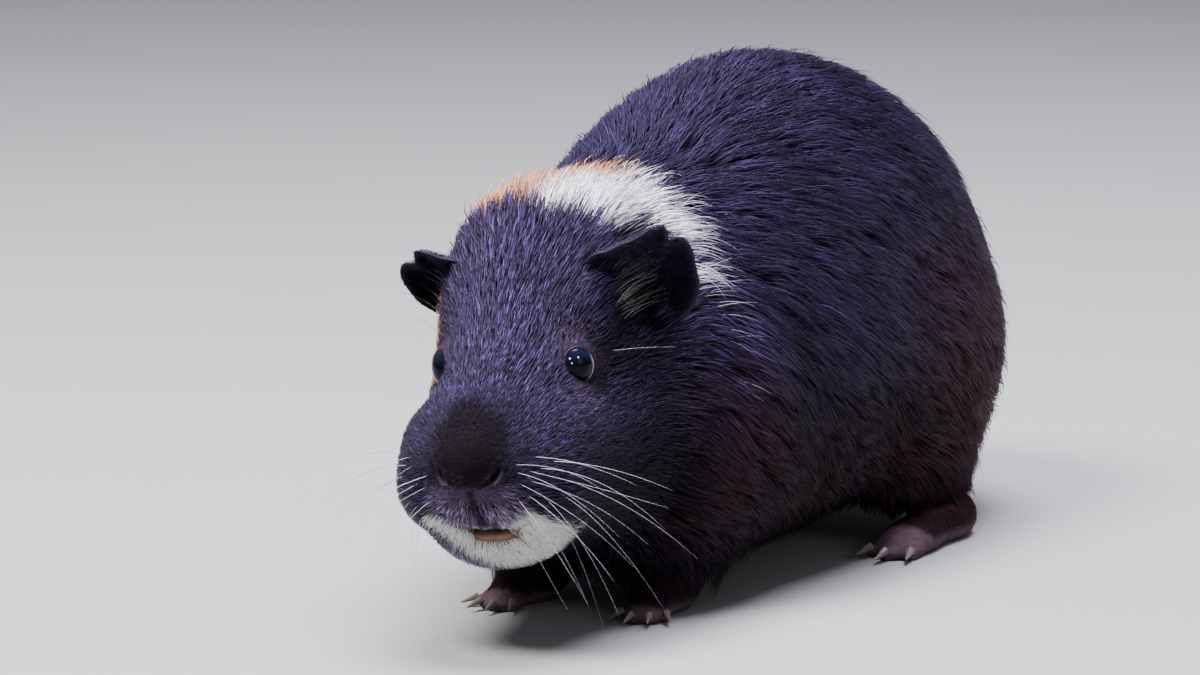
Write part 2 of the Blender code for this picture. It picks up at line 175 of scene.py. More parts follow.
def wobble(points, scale, seed):
    """A smooth field from about -1 to 1, with features of that size."""
    rng = np.random.default_rng(seed)
    total = np.zeros(len(points))
    for _ in range(5):
        wave = unit(rng.normal(size=3)) * (2 * math.pi / (scale * rng.uniform(0.7, 1.6)))
        total += np.sin(points @ wave + rng.uniform(0, 2 * math.pi))
    return total / 3.2


def away(points, centre, radii=1.0):
    """Each point's distance from a centre, in radii."""
    return np.linalg.norm((points - centre) / radii, axis=1)


def mirrored(place, side):
    """A place of the head's left half, on that side."""
    return place * np.array((side, 1, 1))


def folded(local):
    """Head places with the right half laid over the left."""
    made = local.copy()
    made[:, 0] = np.abs(made[:, 0])
    return made


# ---------------------------------------------------------------- frame


class Head:
    """Turns points between the row frame and the head's own frame."""

    def __init__(self):
        x, y, z = (math.radians(a) for a in HEAD_TURN)
        turns = [Euler(turn).to_matrix() for turn in ((0, 0, z), (x, 0, 0), (0, y, 0))]
        self.turn = np.array(turns[0] @ turns[1] @ turns[2])
        low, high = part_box("eye_left")
        eye = (np.array(low) + np.array(high)) / 2 / MM
        self.origin = eye - self.turn @ EYE_CENTRE

    def local(self, points):
        return (points - self.origin) @ self.turn

    def world(self, points):
        return points @ self.turn.T + self.origin

    def turned(self, vectors):
        return vectors @ self.turn.T


def behind_head(points):
    """Distance behind the plane that parts the head from the neck."""
    normal = np.array((0, math.cos(HEAD_PLANE_LEAN), -math.sin(HEAD_PLANE_LEAN)))
    return (points - HEAD_PLANE_POINT) @ normal


# ---------------------------------------------------------------- meshes


def link(name, mesh):
    made = bpy.data.objects.new(name, mesh)
    bpy.context.scene.collection.objects.link(made)
    return made


def mesh_from(name, points, triangles):
    """A smooth mesh of triangles, from points in millimetres."""
    mesh = bpy.data.meshes.new(name)
    count = len(triangles)
    mesh.vertices.add(len(points))
    mesh.vertices.foreach_set("co", (points * MM).astype(np.float32).ravel())
    mesh.loops.add(count * 3)
    mesh.loops.foreach_set("vertex_index", triangles.astype(np.int32).ravel())
    mesh.polygons.add(count)
    mesh.polygons.foreach_set("loop_start", np.arange(0, count * 3, 3, dtype=np.int32))
    mesh.polygons.foreach_set("use_smooth", np.ones(count, bool))
    mesh.update(calc_edges=True)
    mesh.validate()
    return mesh


def set_colour(mesh, colours):
    attribute = mesh.attributes.new("coat", "FLOAT_COLOR", "POINT")
    full = np.ones((len(colours), 4), np.float32)
    full[:, :3] = colours
    attribute.data.foreach_set("color", full.ravel())


def set_strand(mesh, vectors):
    attribute = mesh.attributes.new("strand", "FLOAT_VECTOR", "POINT")
    attribute.data.foreach_set("vector", vectors.astype(np.float32).ravel())


def set_uv(mesh, uv):
    layer = mesh.uv_layers.new(name="OFBake")
    corners = read(mesh.loops, "vertex_index", 1, np.int32)[:, 0]
    layer.data.foreach_set("uv", uv[corners].astype(np.float32).ravel())


def read(items, field, width, kind=float):
    """One field of each of a mesh's items, as rows of that width."""
    flat = np.empty(len(items) * width, kind)
    items.foreach_get(field, flat)
    return flat.reshape(-1, width)


def points_of(mesh):
    return read(mesh.vertices, "co", 3) / MM


def normals_of(mesh):
    return read(mesh.vertex_normals, "vector", 3)


def edges_of(mesh):
    return read(mesh.edges, "vertices", 2, np.int32)


def triangles_of(mesh):
    return read(mesh.polygons, "vertices", 3, np.int32)


def tree_of(points):
    """A tree that finds the nearest of the points."""
    tree = KDTree(len(points))
    for index, point in enumerate(points):
        tree.insert(point, index)
    tree.balance()
    return tree


def nearest(tree, places):
    """The number of the tree's point that is nearest to each place."""
    return np.array([tree.find(place)[1] for place in places])


def repeated(one, count, size):
    """One solid's triangles, for that many solids of size points each."""
    return (np.array(one)[None] + (np.arange(count) * size)[:, None, None]).reshape(-1, 3)


def tube_wall(sides, rings):
    """The triangles between rings of points that follow each other."""
    made = []
    for ring in range(rings - 1):
        for corner in range(sides):
            a, b = sides * ring + corner, sides * ring + (corner + 1) % sides
            made += [(a, b, b + sides), (a, b + sides, a + sides)]
    return made


def closed_outward(points, triangles, inside):
    """The triangles of a closed solid, turned to face away from a place inside it."""
    corners = points[triangles]
    facing = np.cross(corners[:, 1] - corners[:, 0], corners[:, 2] - corners[:, 0])
    volume = np.einsum("ij,ij->i", corners[:, 0] - inside, facing).sum()
    return triangles[:, ::-1] if volume < 0 else triangles


def piece(name, points, triangles, colours, material):
    """A mesh with its colours and its look, put in the scene."""
    mesh = mesh_from(name, points, triangles)
    set_colour(mesh, colours)
    mesh.materials.append(material)
    return link(name, mesh)


def hair_piece(name, points, triangles, colours, strand, uv, material):
    """A piece of hair, with what its material and its bake read."""
    made = piece(name, points, triangles, colours, material)
    set_strand(made.data, strand)
    set_uv(made.data, uv)
    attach(made, "root")


def write_points(mesh, points):
    mesh.vertices.foreach_set("co", (points * MM).astype(np.float32).ravel())
    mesh.update()


def relax(values, edges, weight, rounds):
    """Moves each vertex's value towards its neighbours' mean."""
    values = values.astype(float)
    if values.ndim == 1:
        return relax(values[:, None], edges, weight, rounds)[:, 0]
    count = len(values)
    a, b = edges[:, 0], edges[:, 1]
    near = np.bincount(a, minlength=count) + np.bincount(b, minlength=count)
    near = np.maximum(near, 1)
    for _ in range(rounds):
        mean = np.empty_like(values)
        for axis in range(values.shape[1]):
            column = values[:, axis]
            mean[:, axis] = (np.bincount(a, column[b], count) + np.bincount(b, column[a], count)) / near
        values = values + (mean - values) * weight[:, None]
    return values


# ---------------------------------------------------------------- skin


def drawn_over(nodes):
    """One mesh over all the flesh and the eyeballs, with the thin cuts between them closed."""
    joined = bmesh.new()
    for name in FLESH + ("eye_left", "eye_right"):
        joined.from_mesh(nodes[name].data)
    bmesh.ops.remove_doubles(joined, verts=joined.verts, dist=2e-6)
    joined.normal_update()
    for vertex in joined.verts:
        vertex.co += vertex.normal * (SKIN_GROWTH * MM)
    mesh = bpy.data.meshes.new("flesh")
    joined.to_mesh(mesh)
    joined.free()
    base = link("flesh", mesh)
    remesh = base.modifiers.new("remesh", "REMESH")
    remesh.mode = "VOXEL"
    remesh.voxel_size = SKIN_VOXEL * MM
    graph = bpy.context.evaluated_depsgraph_get()
    made = bpy.data.meshes.new_from_object(base.evaluated_get(graph))
    bpy.data.objects.remove(base)
    bpy.data.meshes.remove(mesh)
    return made


def curve_through(known, steps):
    """Points on a smooth curve through the known ones."""
    known = np.asarray(known, float)
    padded = np.vstack([2 * known[0] - known[1], known, 2 * known[-1] - known[-2]])
    made = []
    for place in np.linspace(0, len(known) - 1, steps):
        start = min(int(place), len(known) - 2)
        t = place - start
        before, here, after, beyond = padded[start : start + 4]
        bend = 2 * before - 5 * here + 4 * after - beyond
        twist = 3 * (here - after) + beyond - before
        made.append(here + 0.5 * t * ((after - before) + t * (bend + t * twist)))
    return np.array(made)


def ear_petal(name, side):
    """(points, triangles, weights) of one ear: a thin cupped petal, its edge uneven and rolled forward.

    A point's weight is 1 on the ear, and climbs to 2 at its edge.
    """
    around, deep = EAR_STEPS
    rim = curve_through(EAR_RIM, around)
    tuck = mix(EAR_TUCK[name], 1, ramp(rim[:, 2], 10, 29))[:, None]
    rim = EAR_HOLLOW + (rim - EAR_HOLLOW) * EAR_SIZE[name] * tuck
    u = np.linspace(0, 1, around)
    share = np.linspace(0.12, 1, deep)[:, None]
    over = np.sin(np.pi * u)[None]
    ragged = 1 + 0.012 * np.sin(u * 61) * over[0] + 0.010 * np.sin(u * 23 + 1) * over[0]
    grid = EAR_HOLLOW + (rim - EAR_HOLLOW)[None] * (share * ragged[None] ** share)[..., None]
    fold = np.exp(-(((u - 0.22) / 0.16) ** 2))[None]
    grid[..., 1] += EAR_BULGE * over * (share - share**2)
    grid[..., 1] -= EAR_ROLL * over * share**4 + 1.3 * fold * share**8
    grid[..., 2] -= 1.1 * fold * share**12
    grid[..., 1] += 0.22 * np.sin(u * 34 + share * 5) * over * share**2
    normal = unit(np.cross(np.gradient(grid, axis=1), np.gradient(grid, axis=0)))
    thick = (0.75 - 0.42 * share**2)[..., None]
    thick = normal * (thick * np.clip((1 - share) * 14 + 0.35, 0, 1)[..., None])
    layers = mirrored(np.concatenate([(grid + thick).reshape(-1, 3), (grid - thick).reshape(-1, 3)]), side)
    # The front, the back, and the wall that joins them round the edge.
    half = around * deep
    i, j = np.meshgrid(np.arange(deep - 1), np.arange(around - 1), indexing="ij")
    a = (i * around + j).ravel()
    quads = np.stack([a, a + 1, a + around + 1, a + around], 1)
    across, down = np.arange(around), np.arange(deep) * around
    edge = np.concatenate([across, down[1:] + around - 1, down[-1] + across[-2::-1], down[-2:0:-1]])
    after = np.roll(edge, -1)
    wall = np.stack([after, edge, edge + half, after + half], 1)
    quads = np.concatenate([quads, quads[:, ::-1] + half, wall])
    triangles = np.concatenate([quads[:, [0, 1, 2]], quads[:, [0, 2, 3]]])
    root = mirrored(EAR_HOLLOW, side)
    lift = Euler((0, -math.radians(EAR_LIFT) * side, 0)).to_matrix()
    swing = Euler((0, 0, -math.radians(EAR_SWING[name]) * side)).to_matrix()
    layers = root + (layers - root) @ np.array(lift @ swing).T
    weight = 1 + np.broadcast_to(share**14, grid.shape[:2]).ravel()
    return HEAD.world(layers), closed_outward(layers, triangles, layers.mean(0)), np.tile(weight, 2)


def feet_weight(points):
    """1 on the feet, 0 above the ankles."""
    return ramp(points[:, 2], 12.5, 9.0)


def eye_distance(local):
    """Distance to the nearer eye's centre."""
    return away(folded(local), EYE_CENTRE)


def coat_depth(points, local):
    """How far the skin lies under the coat's tips."""
    face = np.interp(local[:, 1], (0, 6, 14, 30, 45, 60, 75), (0.12, 0.4, 0.7, 1.0, 1.4, 2.2, 3.4))
    face = face * mix(0.35, 1, ramp(eye_distance(local), 5.5, 10))
    leg = ramp(points[:, 2], 8, 30)
    body = mix(0.25, 3.3, leg)
    depth = mix(face, body, ramp(behind_head(points), -8, 12))
    return mix(depth, 0.15, feet_weight(points))


def nostril(local, side):
    """(along, across) a nostril's slit, each about 1 at its edge. It curls up at its outer end."""
    reach = 2.5 if side > 0 else 2.1
    centre = np.array((side * (6.6 - 0.8 * reach), -0.4, -0.75 - 0.56 * reach))
    along = unit((side * 4.7, 1.2, 3.3))
    out = unit((side * 0.25, -1, 0.1))
    across = unit(np.cross(along, out)) * side
    offset = local - centre
    a = (offset @ along) / reach
    width = mix(0.24, 0.54, ramp(a, -0.6, 0.55))
    b = (offset @ across) / width
    return a, b + 0.9 * a**2 - 0.25


def lip_place(local):
    """(across, over): millimetres from the mouth's middle, and over its line, which bows up at the ends."""
    off = local[:, 0] - LIP_SHIFT
    return off, local[:, 2] + 14.6 - 0.03 * off**2


def philtrum_off(local):
    """Millimetres to the side of the groove from the nose to the mouth."""
    return local[:, 0] - 1.0 * ramp(local[:, 2], -5, -14)


def sculpt(local):
    """Offsets, in the head's frame, for the nostrils, philtrum, mouth, lip and ear hollows."""
    moved = np.zeros_like(local)
    x, y, z = local.T
    front = ramp(y, 16, 8)
    for _, side in SIDES:
        along, across = nostril(local, side)
        slit = np.exp(-((along**2 + across**2) ** 1.6)) * front
        moved += np.outer(slit, (-side * 0.3, 2.6, 0.9))
        rim = bell(along, 1.0) * bell(across - 2.2, 1.0) * front
        moved += np.outer(rim, (side * 0.1, -0.3, -0.05))
        brow = bell(along, 0.9) * bell(across + 2.2, 1.2) * front
        moved += np.outer(brow, (side * 0.1, -0.45, -0.1))
        pad = bell(x - side * 5.5, 4.2) * bell(z + 9.5, 4.0) * front
        moved += np.outer(pad, (side * 0.25, -0.7, 0))
    philtrum = bell(philtrum_off(local), 0.7) * ramp(z, -15.2, -13.5) * ramp(z, -3.6, -5.2) * front
    moved += np.outer(philtrum, (0, 1.3, 0))
    off, gap = lip_place(local)
    mouth = bell(gap, 0.6) * ramp(np.abs(off), 9.0, 5.5) * front
    moved += np.outer(mouth, (0, 2.1, 0))
    lip = bell(gap + 1.7, 1.1) * ramp(np.abs(off), 5.6, 3.4) * front
    moved += np.outer(lip, (0, -0.9, 0))
    cheek = bell(np.abs(x) - 14, 7) * bell(y - 20, 9) * bell(z - 4, 8)
    moved[:, 0] += np.sign(x) * 2.2 * cheek
    moved[:, 0] -= np.sign(x) * 4.6 * ear_mouth(local)
    moved[:, 1] += 4.2 * ear_mouth(local)
    return moved


def ear_mouth(local):
    """1 in the hollow that each ear stands round, fading to 0 at its edge."""
    offset = (folded(local) - EAR_MOUTH) / EAR_MOUTH_SIZE
    return np.exp(-((offset**2).sum(1) ** 1.6))


def gaze_of(side):
    """Where that side's eye looks, in the head's frame."""
    return unit(mirrored(GAZE, side))


def lid_axes(gaze, side):
    """Forward towards the nose, and up, across the gaze."""
    forward = np.array((-side * 0.2, -1.0, 0.0))
    forward = unit(forward - gaze * (forward @ gaze))
    up = np.cross(gaze, forward)
    return forward, up if up[2] > 0 else -up


def lid_opening(offset, gaze, side):
    """How many degrees off the gaze the lids' edge lies, on the side that an offset points to."""
    forward, up = lid_axes(gaze, side)
    turn = np.arctan2(offset @ up, offset @ forward)
    corner = np.maximum(0, np.cos(turn + math.radians(54))) ** 9
    return mix(OPEN_WIDE, OPEN_TALL, np.sin(turn) ** 2) + OPEN_CORNER * corner


def on_ball(local):
    """True inside the lids' outer edge."""
    inside = np.zeros(len(local), bool)
    for _, side in SIDES:
        gaze = gaze_of(side)
        offset = local - mirrored(EYE_CENTRE, side)
        far = np.linalg.norm(offset, axis=1)
        polar = np.degrees(np.arccos(np.clip(offset @ gaze / far, -1, 1)))
        inside |= (far < EYE_RADIUS + 0.8) & (polar < lid_opening(offset, gaze, side) + 6.5)
    return inside


def socket(local):
    """Draws the skin over the eyeball's edge, and under it where the eye is open."""
    for _, side in SIDES:
        gaze = gaze_of(side)
        centre = mirrored(EYE_CENTRE, side)
        offset = local - centre
        far = np.linalg.norm(offset, axis=1)
        facing = (offset @ gaze) / np.maximum(far, 1e-6)
        edge = np.cos(np.radians(lid_opening(offset, gaze, side) + 4.5))
        near = ramp(far, EYE_RADIUS + 2.2, EYE_RADIUS + 0.4)
        rim = EYE_RADIUS + mix(0.34, -1.6, ramp(facing - edge, -0.02, 0.07))
        rim = np.where(facing > -0.35, rim, far)
        pulled = centre + offset * (rim / np.maximum(far, 1e-6))[:, None]
        local = mix(local, pulled, (near * (far < EYE_RADIUS + 2.2))[:, None])
    return local


def subdivided(mesh, chosen, cuts):
    """Splits the edges of the chosen vertices' faces, then makes everything triangles."""
    made = bmesh.new()
    made.from_mesh(mesh)
    made.verts.ensure_lookup_table()
    picked = [e for e in made.edges if chosen[e.verts[0].index] and chosen[e.verts[1].index]]
    bmesh.ops.subdivide_edges(made, edges=picked, cuts=cuts, use_grid_fill=True)
    bmesh.ops.triangulate(made, faces=made.faces)
    made.to_mesh(mesh)
    made.free()


def make_skin(nodes):
    """The skin's mesh with both ears on it, and each vertex's weight as an ear."""
    mesh = drawn_over(nodes)
    points = points_of(mesh)
    edges = edges_of(mesh)
    firm = feet_weight(points)
    headness = ramp(behind_head(points), 4, -8)
    points = relax(points, edges, 0.5 * mix(1, 0.12, firm), 8)
    points = relax(points, edges, 0.5 * (1 - firm) * (1 - headness), 26)
    write_points(mesh, points)
    normals = normals_of(mesh)
    depth = coat_depth(points, HEAD.local(points))
    depth = relax(depth, edges, np.full(len(points), 0.5), 6)
    points = points - normals * depth[:, None]
    points = relax(points, edges, 0.4 * (1 - firm), 3)
    write_points(mesh, points)
    # The muzzle and the skin round the eyes are cut finer before they are sculpted.
    local = HEAD.local(points)
    subdivided(mesh, (away(local, MUZZLE) < MUZZLE_REACH) | (eye_distance(local) < EYE_REACH), 3)
    points = points_of(mesh)
    local = HEAD.local(points)
    close = (away(local, MUZZLE) < MUZZLE_REACH - 1) | (eye_distance(local) < EYE_REACH - 0.5)
    points = relax(points, edges_of(mesh), 0.5 * close.astype(float), 10)
    local = HEAD.local(points)
    points = [HEAD.world(socket(local + sculpt(local)))]
    triangles = [triangles_of(mesh)]
    ear = [np.zeros(len(points[0]))]
    for name, side in SIDES:
        petal, faces, weight = ear_petal(name, side)
        triangles.append(faces + sum(map(len, points)))
        points.append(petal)
        ear.append(weight)
    return mesh_from("skin", np.concatenate(points), np.concatenate(triangles)), np.concatenate(ear)


# ---------------------------------------------------------------- markings


def shield_at(local, fine):
    """Under 1 on the nose's shield of short brown fur."""
    return away(local, SHIELD, SHIELD_SIZE) + 0.12 * fine


def markings(points, local):
    """The coat's colour at places on the body, for the skin and the tufts alike."""
    x, y, z = points.T
    lx, ly, lz = local.T
    stain = wobble(points, *STAIN)
    fine = wobble(points, *FINE)
    colour = np.tile(BLACK, (len(points), 1))
    body = ramp(behind_head(points), -10, 14)
    # Painted sky sheen: the violet of the head, back and shoulders, which face the sky.
    sky_sheen = ramp(z, 36, 66) * (0.6 + 0.4 * stain)
    sky_sheen = sky_sheen * mix(0.55, 1.35, body)
    colour = mix_colour(colour, mix(BLACK, SKY_SHEEN_VIOLET, 0.18), np.clip(sky_sheen, 0, 1))
    # Painted shade: the body and the head grow darker towards the bottom.
    colour = mix_colour(colour, UNDERSIDE_SHADE, ramp(z, 60, 36) * body)
    colour = mix_colour(colour, BLACK * 0.6, ramp(z, 58, 34) * (1 - body) * 0.8)
    # Rust on the flank, thigh and rump and behind the cheek.
    rust = ramp(z, 94, 56) * ramp(y, 0, 58) * mix(0.45, 1, ramp(np.abs(x), 18, 40))
    behind = bell(y + 44, 17) * bell(z - 38, 22) * ramp(np.abs(x), 16, 30) * 0.7
    low = ramp(z, 60, 30) * body * 0.45
    rust = np.clip(np.maximum(np.maximum(rust, behind), low) * (0.8 + 0.35 * stain), 0, 1)
    colour = mix_colour(colour, RUST, rust * 0.9)
    colour = mix_colour(colour, BLACK * 0.9, ramp(z, 26, 12) * body * 0.6)
    # The brown shield of very short fur over the nose.
    colour = mix_colour(colour, NOSE_BROWN, ramp(shield_at(local, fine), 1.2, 0.7))
    # Greyer fur on the lip under the nostrils, and round the eye.
    upper = ramp(ly, 15, 8) * ramp(lz, -2.5, -4.5) * ramp(np.abs(lx), 12, 6)
    colour = mix_colour(colour, LIP_GREY, upper * 0.75)
    # Painted shade in the groove from the nose to the mouth.
    shaded_groove = bell(philtrum_off(local), 0.75) * ramp(lz, -3.5, -5) * ramp(lz, -16, -14.5) * ramp(ly, 15, 8)
    colour = mix_colour(colour, BLACK * 0.4, shaded_groove)
    ring = ramp(eye_distance(local), 9.0, 5.5)
    colour = mix_colour(colour, mix(LIP_GREY, RUST, 0.5) * 0.35, ring * 0.6)
    under = away(folded(local), UNDER_EYE, UNDER_EYE_SIZE)
    colour = mix_colour(colour, mix(LIP_GREY, RUST, 0.45), ramp(under + 0.25 * fine, 1.3, 0.5) * 0.5)
    # The white collar, with tan where it comes to the right side.
    front = np.interp(z, COLLAR_LEVELS, COLLAR_FRONT)
    rear = np.interp(z, COLLAR_LEVELS, COLLAR_REAR)
    collar = ramp(y - front + 1.6 * fine, -1.5, 1.5) * ramp(rear - y + 1.4 * fine, -1.2, 1.2)
    collar = collar * ramp(z, 64, 69) * ramp(x, -46, -42)
    collar *= 1 - ramp(ly, 72, 68) * ramp(lx, 12, 15) * ramp(lz, 33, 29)
    turned = ramp(x + 2.5 * fine - 0.25 * (y + 58), 1.5, -2.5)
    right = ramp(-x, 5, 10) * ramp(y + 56 + 2 * fine, -2, 3)
    right = right * ramp(-42 - y + 2 * stain, -4, 2) * ramp(z + 4 * fine, 40, 52)
    cheek = np.minimum(away(local, TAN_CHEEK, TAN_CHEEK_SIZE), away(local, TAN_EAR, TAN_EAR_SIZE))
    right = np.maximum(right, ramp(cheek + 0.14 * fine + 0.12 * stain, 1.12, 0.88) * ramp(-lx, 8, 14))
    colour = mix_colour(colour, WHITE, np.clip(collar * (1 - turned), 0, 1))
    colour = mix_colour(colour, TAN, np.clip(np.maximum(right, collar * turned), 0, 1))
    # The white chin under the dark upper lip. Its edge climbs to each side, then drops away.
    reach = np.abs(lx - 0.6)
    edge = -14.4 + 4.6 * np.clip(reach / 9.5, 0, 1) ** 1.6 - 2.2 * np.clip(reach - 11.5, 0, 9)
    chin = ramp(lz - edge + 0.6 * fine, 0.7, -0.7)
    chin = chin * ramp(lz + 0.6 * fine - np.clip(1 - lx, 0, 12), -25.5, -22.5)
    colour = mix_colour(colour, CREAM, chin * ramp(ly + 1.5 * fine, 19, 12))
    # Painted shade in the hollow before each ear: a plain dark there.
    colour = mix_colour(colour, BLACK * 2.4, np.clip(ear_mouth(local) * 1.4, 0, 1))
    return mix_colour(colour, FOOT_PINK * 0.8, bare_foot(points) * 0.9)


def fur_floor(points):
    """The height at which the fur ends: low over the heels and insteps, higher over the toes."""
    y = points[:, 1]
    hind = mix(3.2, 8.0, ramp(y, 37, 29))
    fore = mix(2.6, 5.5, ramp(y, -58, -63))
    return np.where(y < -20, fore, hind)


def bare_foot(points):
    """1 on the bare skin of the feet."""
    return ramp(points[:, 2] - fur_floor(points), 1.2, -1.0)


def pale_at(points, local):
    """1 in the white and tan markings, 0 in the black."""
    return ramp(markings(points, local).mean(1), 0.1, 0.4)


def skin_colour(points, local, ear):
    """Skin takes the markings, with painted shade on the chin, the lip, the mouth's line and the nostrils,
    and the bare parts have colours of their own.
    """
    colour = markings(points, local)
    ly = local[:, 1]
    off, gap = lip_place(local)
    # Painted shade: the skin is darker round the mouth and on the chin.
    chin = ramp(off**2 + (gap + 1.6) ** 2, 110, 60) * ramp(ly, 14, 10)
    colour = colour * mix(1, 0.2, chin)[:, None]
    lip = bell(gap + 1.6, 1.25) * ramp(np.abs(off), 6.0, 4.8) * ramp(ly, 12, 8)
    # Painted shade: the lip darkens towards the mouth's corners and along its lower edge.
    lip_shade = mix(1.1, 0.45, np.clip(ramp(np.abs(off), 1.5, 5.5) + ramp(gap, -1.6, -3), 0, 1))
    colour = mix_colour(colour, LIP_RED * lip_shade[:, None], np.clip(lip * 1.4, 0, 1))
    # Painted shade along the mouth's line.
    mouth_line_shade = bell(gap, 0.5) * ramp(np.abs(off), 7.5, 5.5) * ramp(ly, 12, 8)
    colour = mix_colour(colour, BLACK * 0.3, np.clip(mouth_line_shade * 1.3, 0, 1))
    front = ramp(ly, 16, 8)
    for _, side in SIDES:
        along, across = nostril(local, side)
        rim = bell(along, 1.1) * bell(across - 2.0, 0.8) * front
        colour = mix_colour(colour, LIP_GREY * 0.7, np.clip(rim, 0, 1))
        # Painted shade in each nostril's slit.
        nostril_shade = np.exp(-((along**2 + across**2) ** 2)) * front
        colour = mix_colour(colour, BLACK * 0.25, np.clip(nostril_shade * 1.4, 0, 1))
    colour = mix_colour(colour, BLACK * 2.6, np.clip(ear, 0, 1))
    colour = mix_colour(colour, BLACK * 4.5, np.clip(ear - 1, 0, 1))
    return mix_colour(colour, FOOT_PINK, bare_foot(points))


# ---------------------------------------------------------------- coat


def morton_order(points):
    """An order that keeps near points near each other in the list."""
    low = points.min(0)
    cells = ((points - low) / 1.5).astype(np.int64)
    key = np.zeros(len(points), np.int64)
    for bit in range(8):
        for axis in range(3):
            key |= ((cells[:, axis] >> bit) & 1) << (3 * bit + axis)
    return np.argsort(key, kind="stable")


class Coat:
    """The skin read as arrays, with what a tuft needs to know at each root."""

    def __init__(self, mesh, ear):
        self.points = points_of(mesh)
        self.normals = normals_of(mesh)
        self.triangles = triangles_of(mesh)
        corners = self.points[self.triangles]
        cross = np.cross(corners[:, 1] - corners[:, 0], corners[:, 2] - corners[:, 0])
        self.area = np.linalg.norm(cross, axis=1) / 2
        self.facing = unit(cross)
        self.centre = corners.mean(1)
        self.ear = np.minimum(ear, 1)
        self.tree = tree_of(self.points)

    def sample(self, density):
        """Roots spread evenly over the skin, at each triangle's density per square millimetre."""
        order = morton_order(self.centre)
        share = np.cumsum((self.area * density)[order])
        count = int(share[-1])
        places = (np.arange(count) + RNG.uniform(0, 1, count)) * (share[-1] / count)
        picked = order[np.searchsorted(share, places).clip(0, len(order) - 1)]
        a, b = RNG.uniform(0, 1, (2, count))
        over = a + b > 1
        a[over], b[over] = 1 - a[over], 1 - b[over]
        weights = np.stack((1 - a - b, a, b), 1)
        corners = self.triangles[picked]
        roots = (self.points[corners] * weights[:, :, None]).sum(1)
        normals = unit((self.normals[corners] * weights[:, :, None]).sum(1))
        return roots, normals, (self.ear[corners] * weights).sum(1)

    def settle(self, ends, heights):
        """Puts each tuft's end at its height over the skin, and gives the normal there."""
        index = nearest(self.tree, ends)
        normals = self.normals[index]
        over = ((ends - self.points[index]) * normals).sum(1)
        return ends + normals * (heights - over)[:, None], normals


def flow_at(points, local, normals):
    """The lie of the coat: back from the nose over the head, then back and down the body."""
    muzzle = unit(local - np.array((0.0, -4.0, -2.0)))
    back = np.tile((0.0, 1.0, -0.16), (len(local), 1))
    head = unit(mix(muzzle, back, ramp(local[:, 1], 18, 62)[:, None]))
    off_eye = folded(local) - EYE_CENTRE
    push = unit(off_eye)
    push[:, 0] *= np.sign(local[:, 0])
    head = unit(head + push * (0.9 * bell(np.linalg.norm(off_eye, axis=1), 7.5))[:, None])
    x, y, z = points.T
    body = np.ones_like(points)
    body[:, 0] = 0.18 * np.sign(x) * ramp(np.abs(x), 2, 16)
    body[:, 2] = -0.18 - 0.55 * np.abs(normals[:, 0])
    body[:, 2] -= 0.8 * ramp(y, 70, 110)
    # Down the legs, and forward along the feet.
    body = mix(body, np.array((0, -0.15, -1.0)), ramp(z, 24, 12)[:, None])
    body = mix(body, np.array((0, -1.0, -0.2)), ramp(z, 9, 6)[:, None])
    flow = mix(HEAD.turned(head), unit(body), ramp(behind_head(points), -14, 10)[:, None])
    flow = flow + 1e-4
    flow -= normals * (flow * normals).sum(1)[:, None]
    return unit(flow)


def turned_about(vectors, axes, angles):
    """Each vector, turned about its axis at right angles to it."""
    return vectors * np.cos(angles)[:, None] + np.cross(axes, vectors) * np.sin(angles)[:, None]


# A tuft has rings of three points and a tip. ALONG is 0 at its root and 1 at its tip, ACROSS 0 and 1 at
# its two edges.
TUFT_STEPS = 3
TUFT_SIZE = 3 * (TUFT_STEPS - 1) + 1
TUFT_FLATNESS = 0.42
ALONG = np.append(np.repeat(np.arange(TUFT_STEPS - 1), 3) / (TUFT_STEPS - 1), 1)
ACROSS = np.array([0.5, 0.0, 1.0] * (TUFT_STEPS - 1) + [0.5])
# In the bake, the patch of a tuft or a hair step is this share of the unwrap across.
BAKE_PATCH = 0.003


def tuft_points(path, across, up, widths):
    """The points of each tuft. path, across and up are (tufts, steps, 3), widths (tufts, steps)."""
    made = []
    for step in range(TUFT_STEPS - 1):
        for corner in range(3):
            angle = math.radians(90 + 120 * corner)
            wide = across[:, step] * (math.cos(angle) * widths[:, step])[:, None]
            high = up[:, step] * (math.sin(angle) * widths[:, step] * TUFT_FLATNESS)[:, None]
            made.append(path[:, step] + wide + high)
    made.append(path[:, -1])
    return np.stack(made, 1).reshape(-1, 3)


def tuft_triangles(count):
    """The triangles of that many closed tufts."""
    last = 3 * (TUFT_STEPS - 2)
    tip = [(last + c, last + (c + 1) % 3, last + 3) for c in range(3)]
    return repeated([(0, 2, 1)] + tube_wall(3, TUFT_STEPS - 1) + tip, count, TUFT_SIZE)


def bake_uv(roots):
    """Each tuft as a small patch, at its root's place on an unwrap of this part of the skin.

    The unwrap is the roots' directions from the part's middle, laid flat at equal area.
    """
    middle = (roots.min(0) + roots.max(0)) / 2
    size = (roots.max(0) - roots.min(0)) / 2 + 1e-6
    outward = unit((roots - middle) / size + 1e-9)
    pole = unit(outward.mean(0) + np.array((1e-3, 0, 1e-3)))
    east = unit(np.cross((0.05, 1.0, 0.02), pole))
    north = np.cross(pole, east)
    reach = np.sqrt(2 / (1 + np.clip(outward @ pole, -0.985, 1)))
    flat = np.stack((outward @ east, outward @ north), 1) * reach[:, None]
    low, high = flat.min(0), flat.max(0)
    flat = 0.01 + 0.975 * (flat - low) / (high - low)
    # Across the patch the ring's points lie in their own order, so that none share a place.
    patch = np.stack(([0, 0.5, 1] * (TUFT_STEPS - 1) + [0.5], ALONG), 1)
    return (flat[:, None] + BAKE_PATCH * patch[None]).reshape(-1, 2)


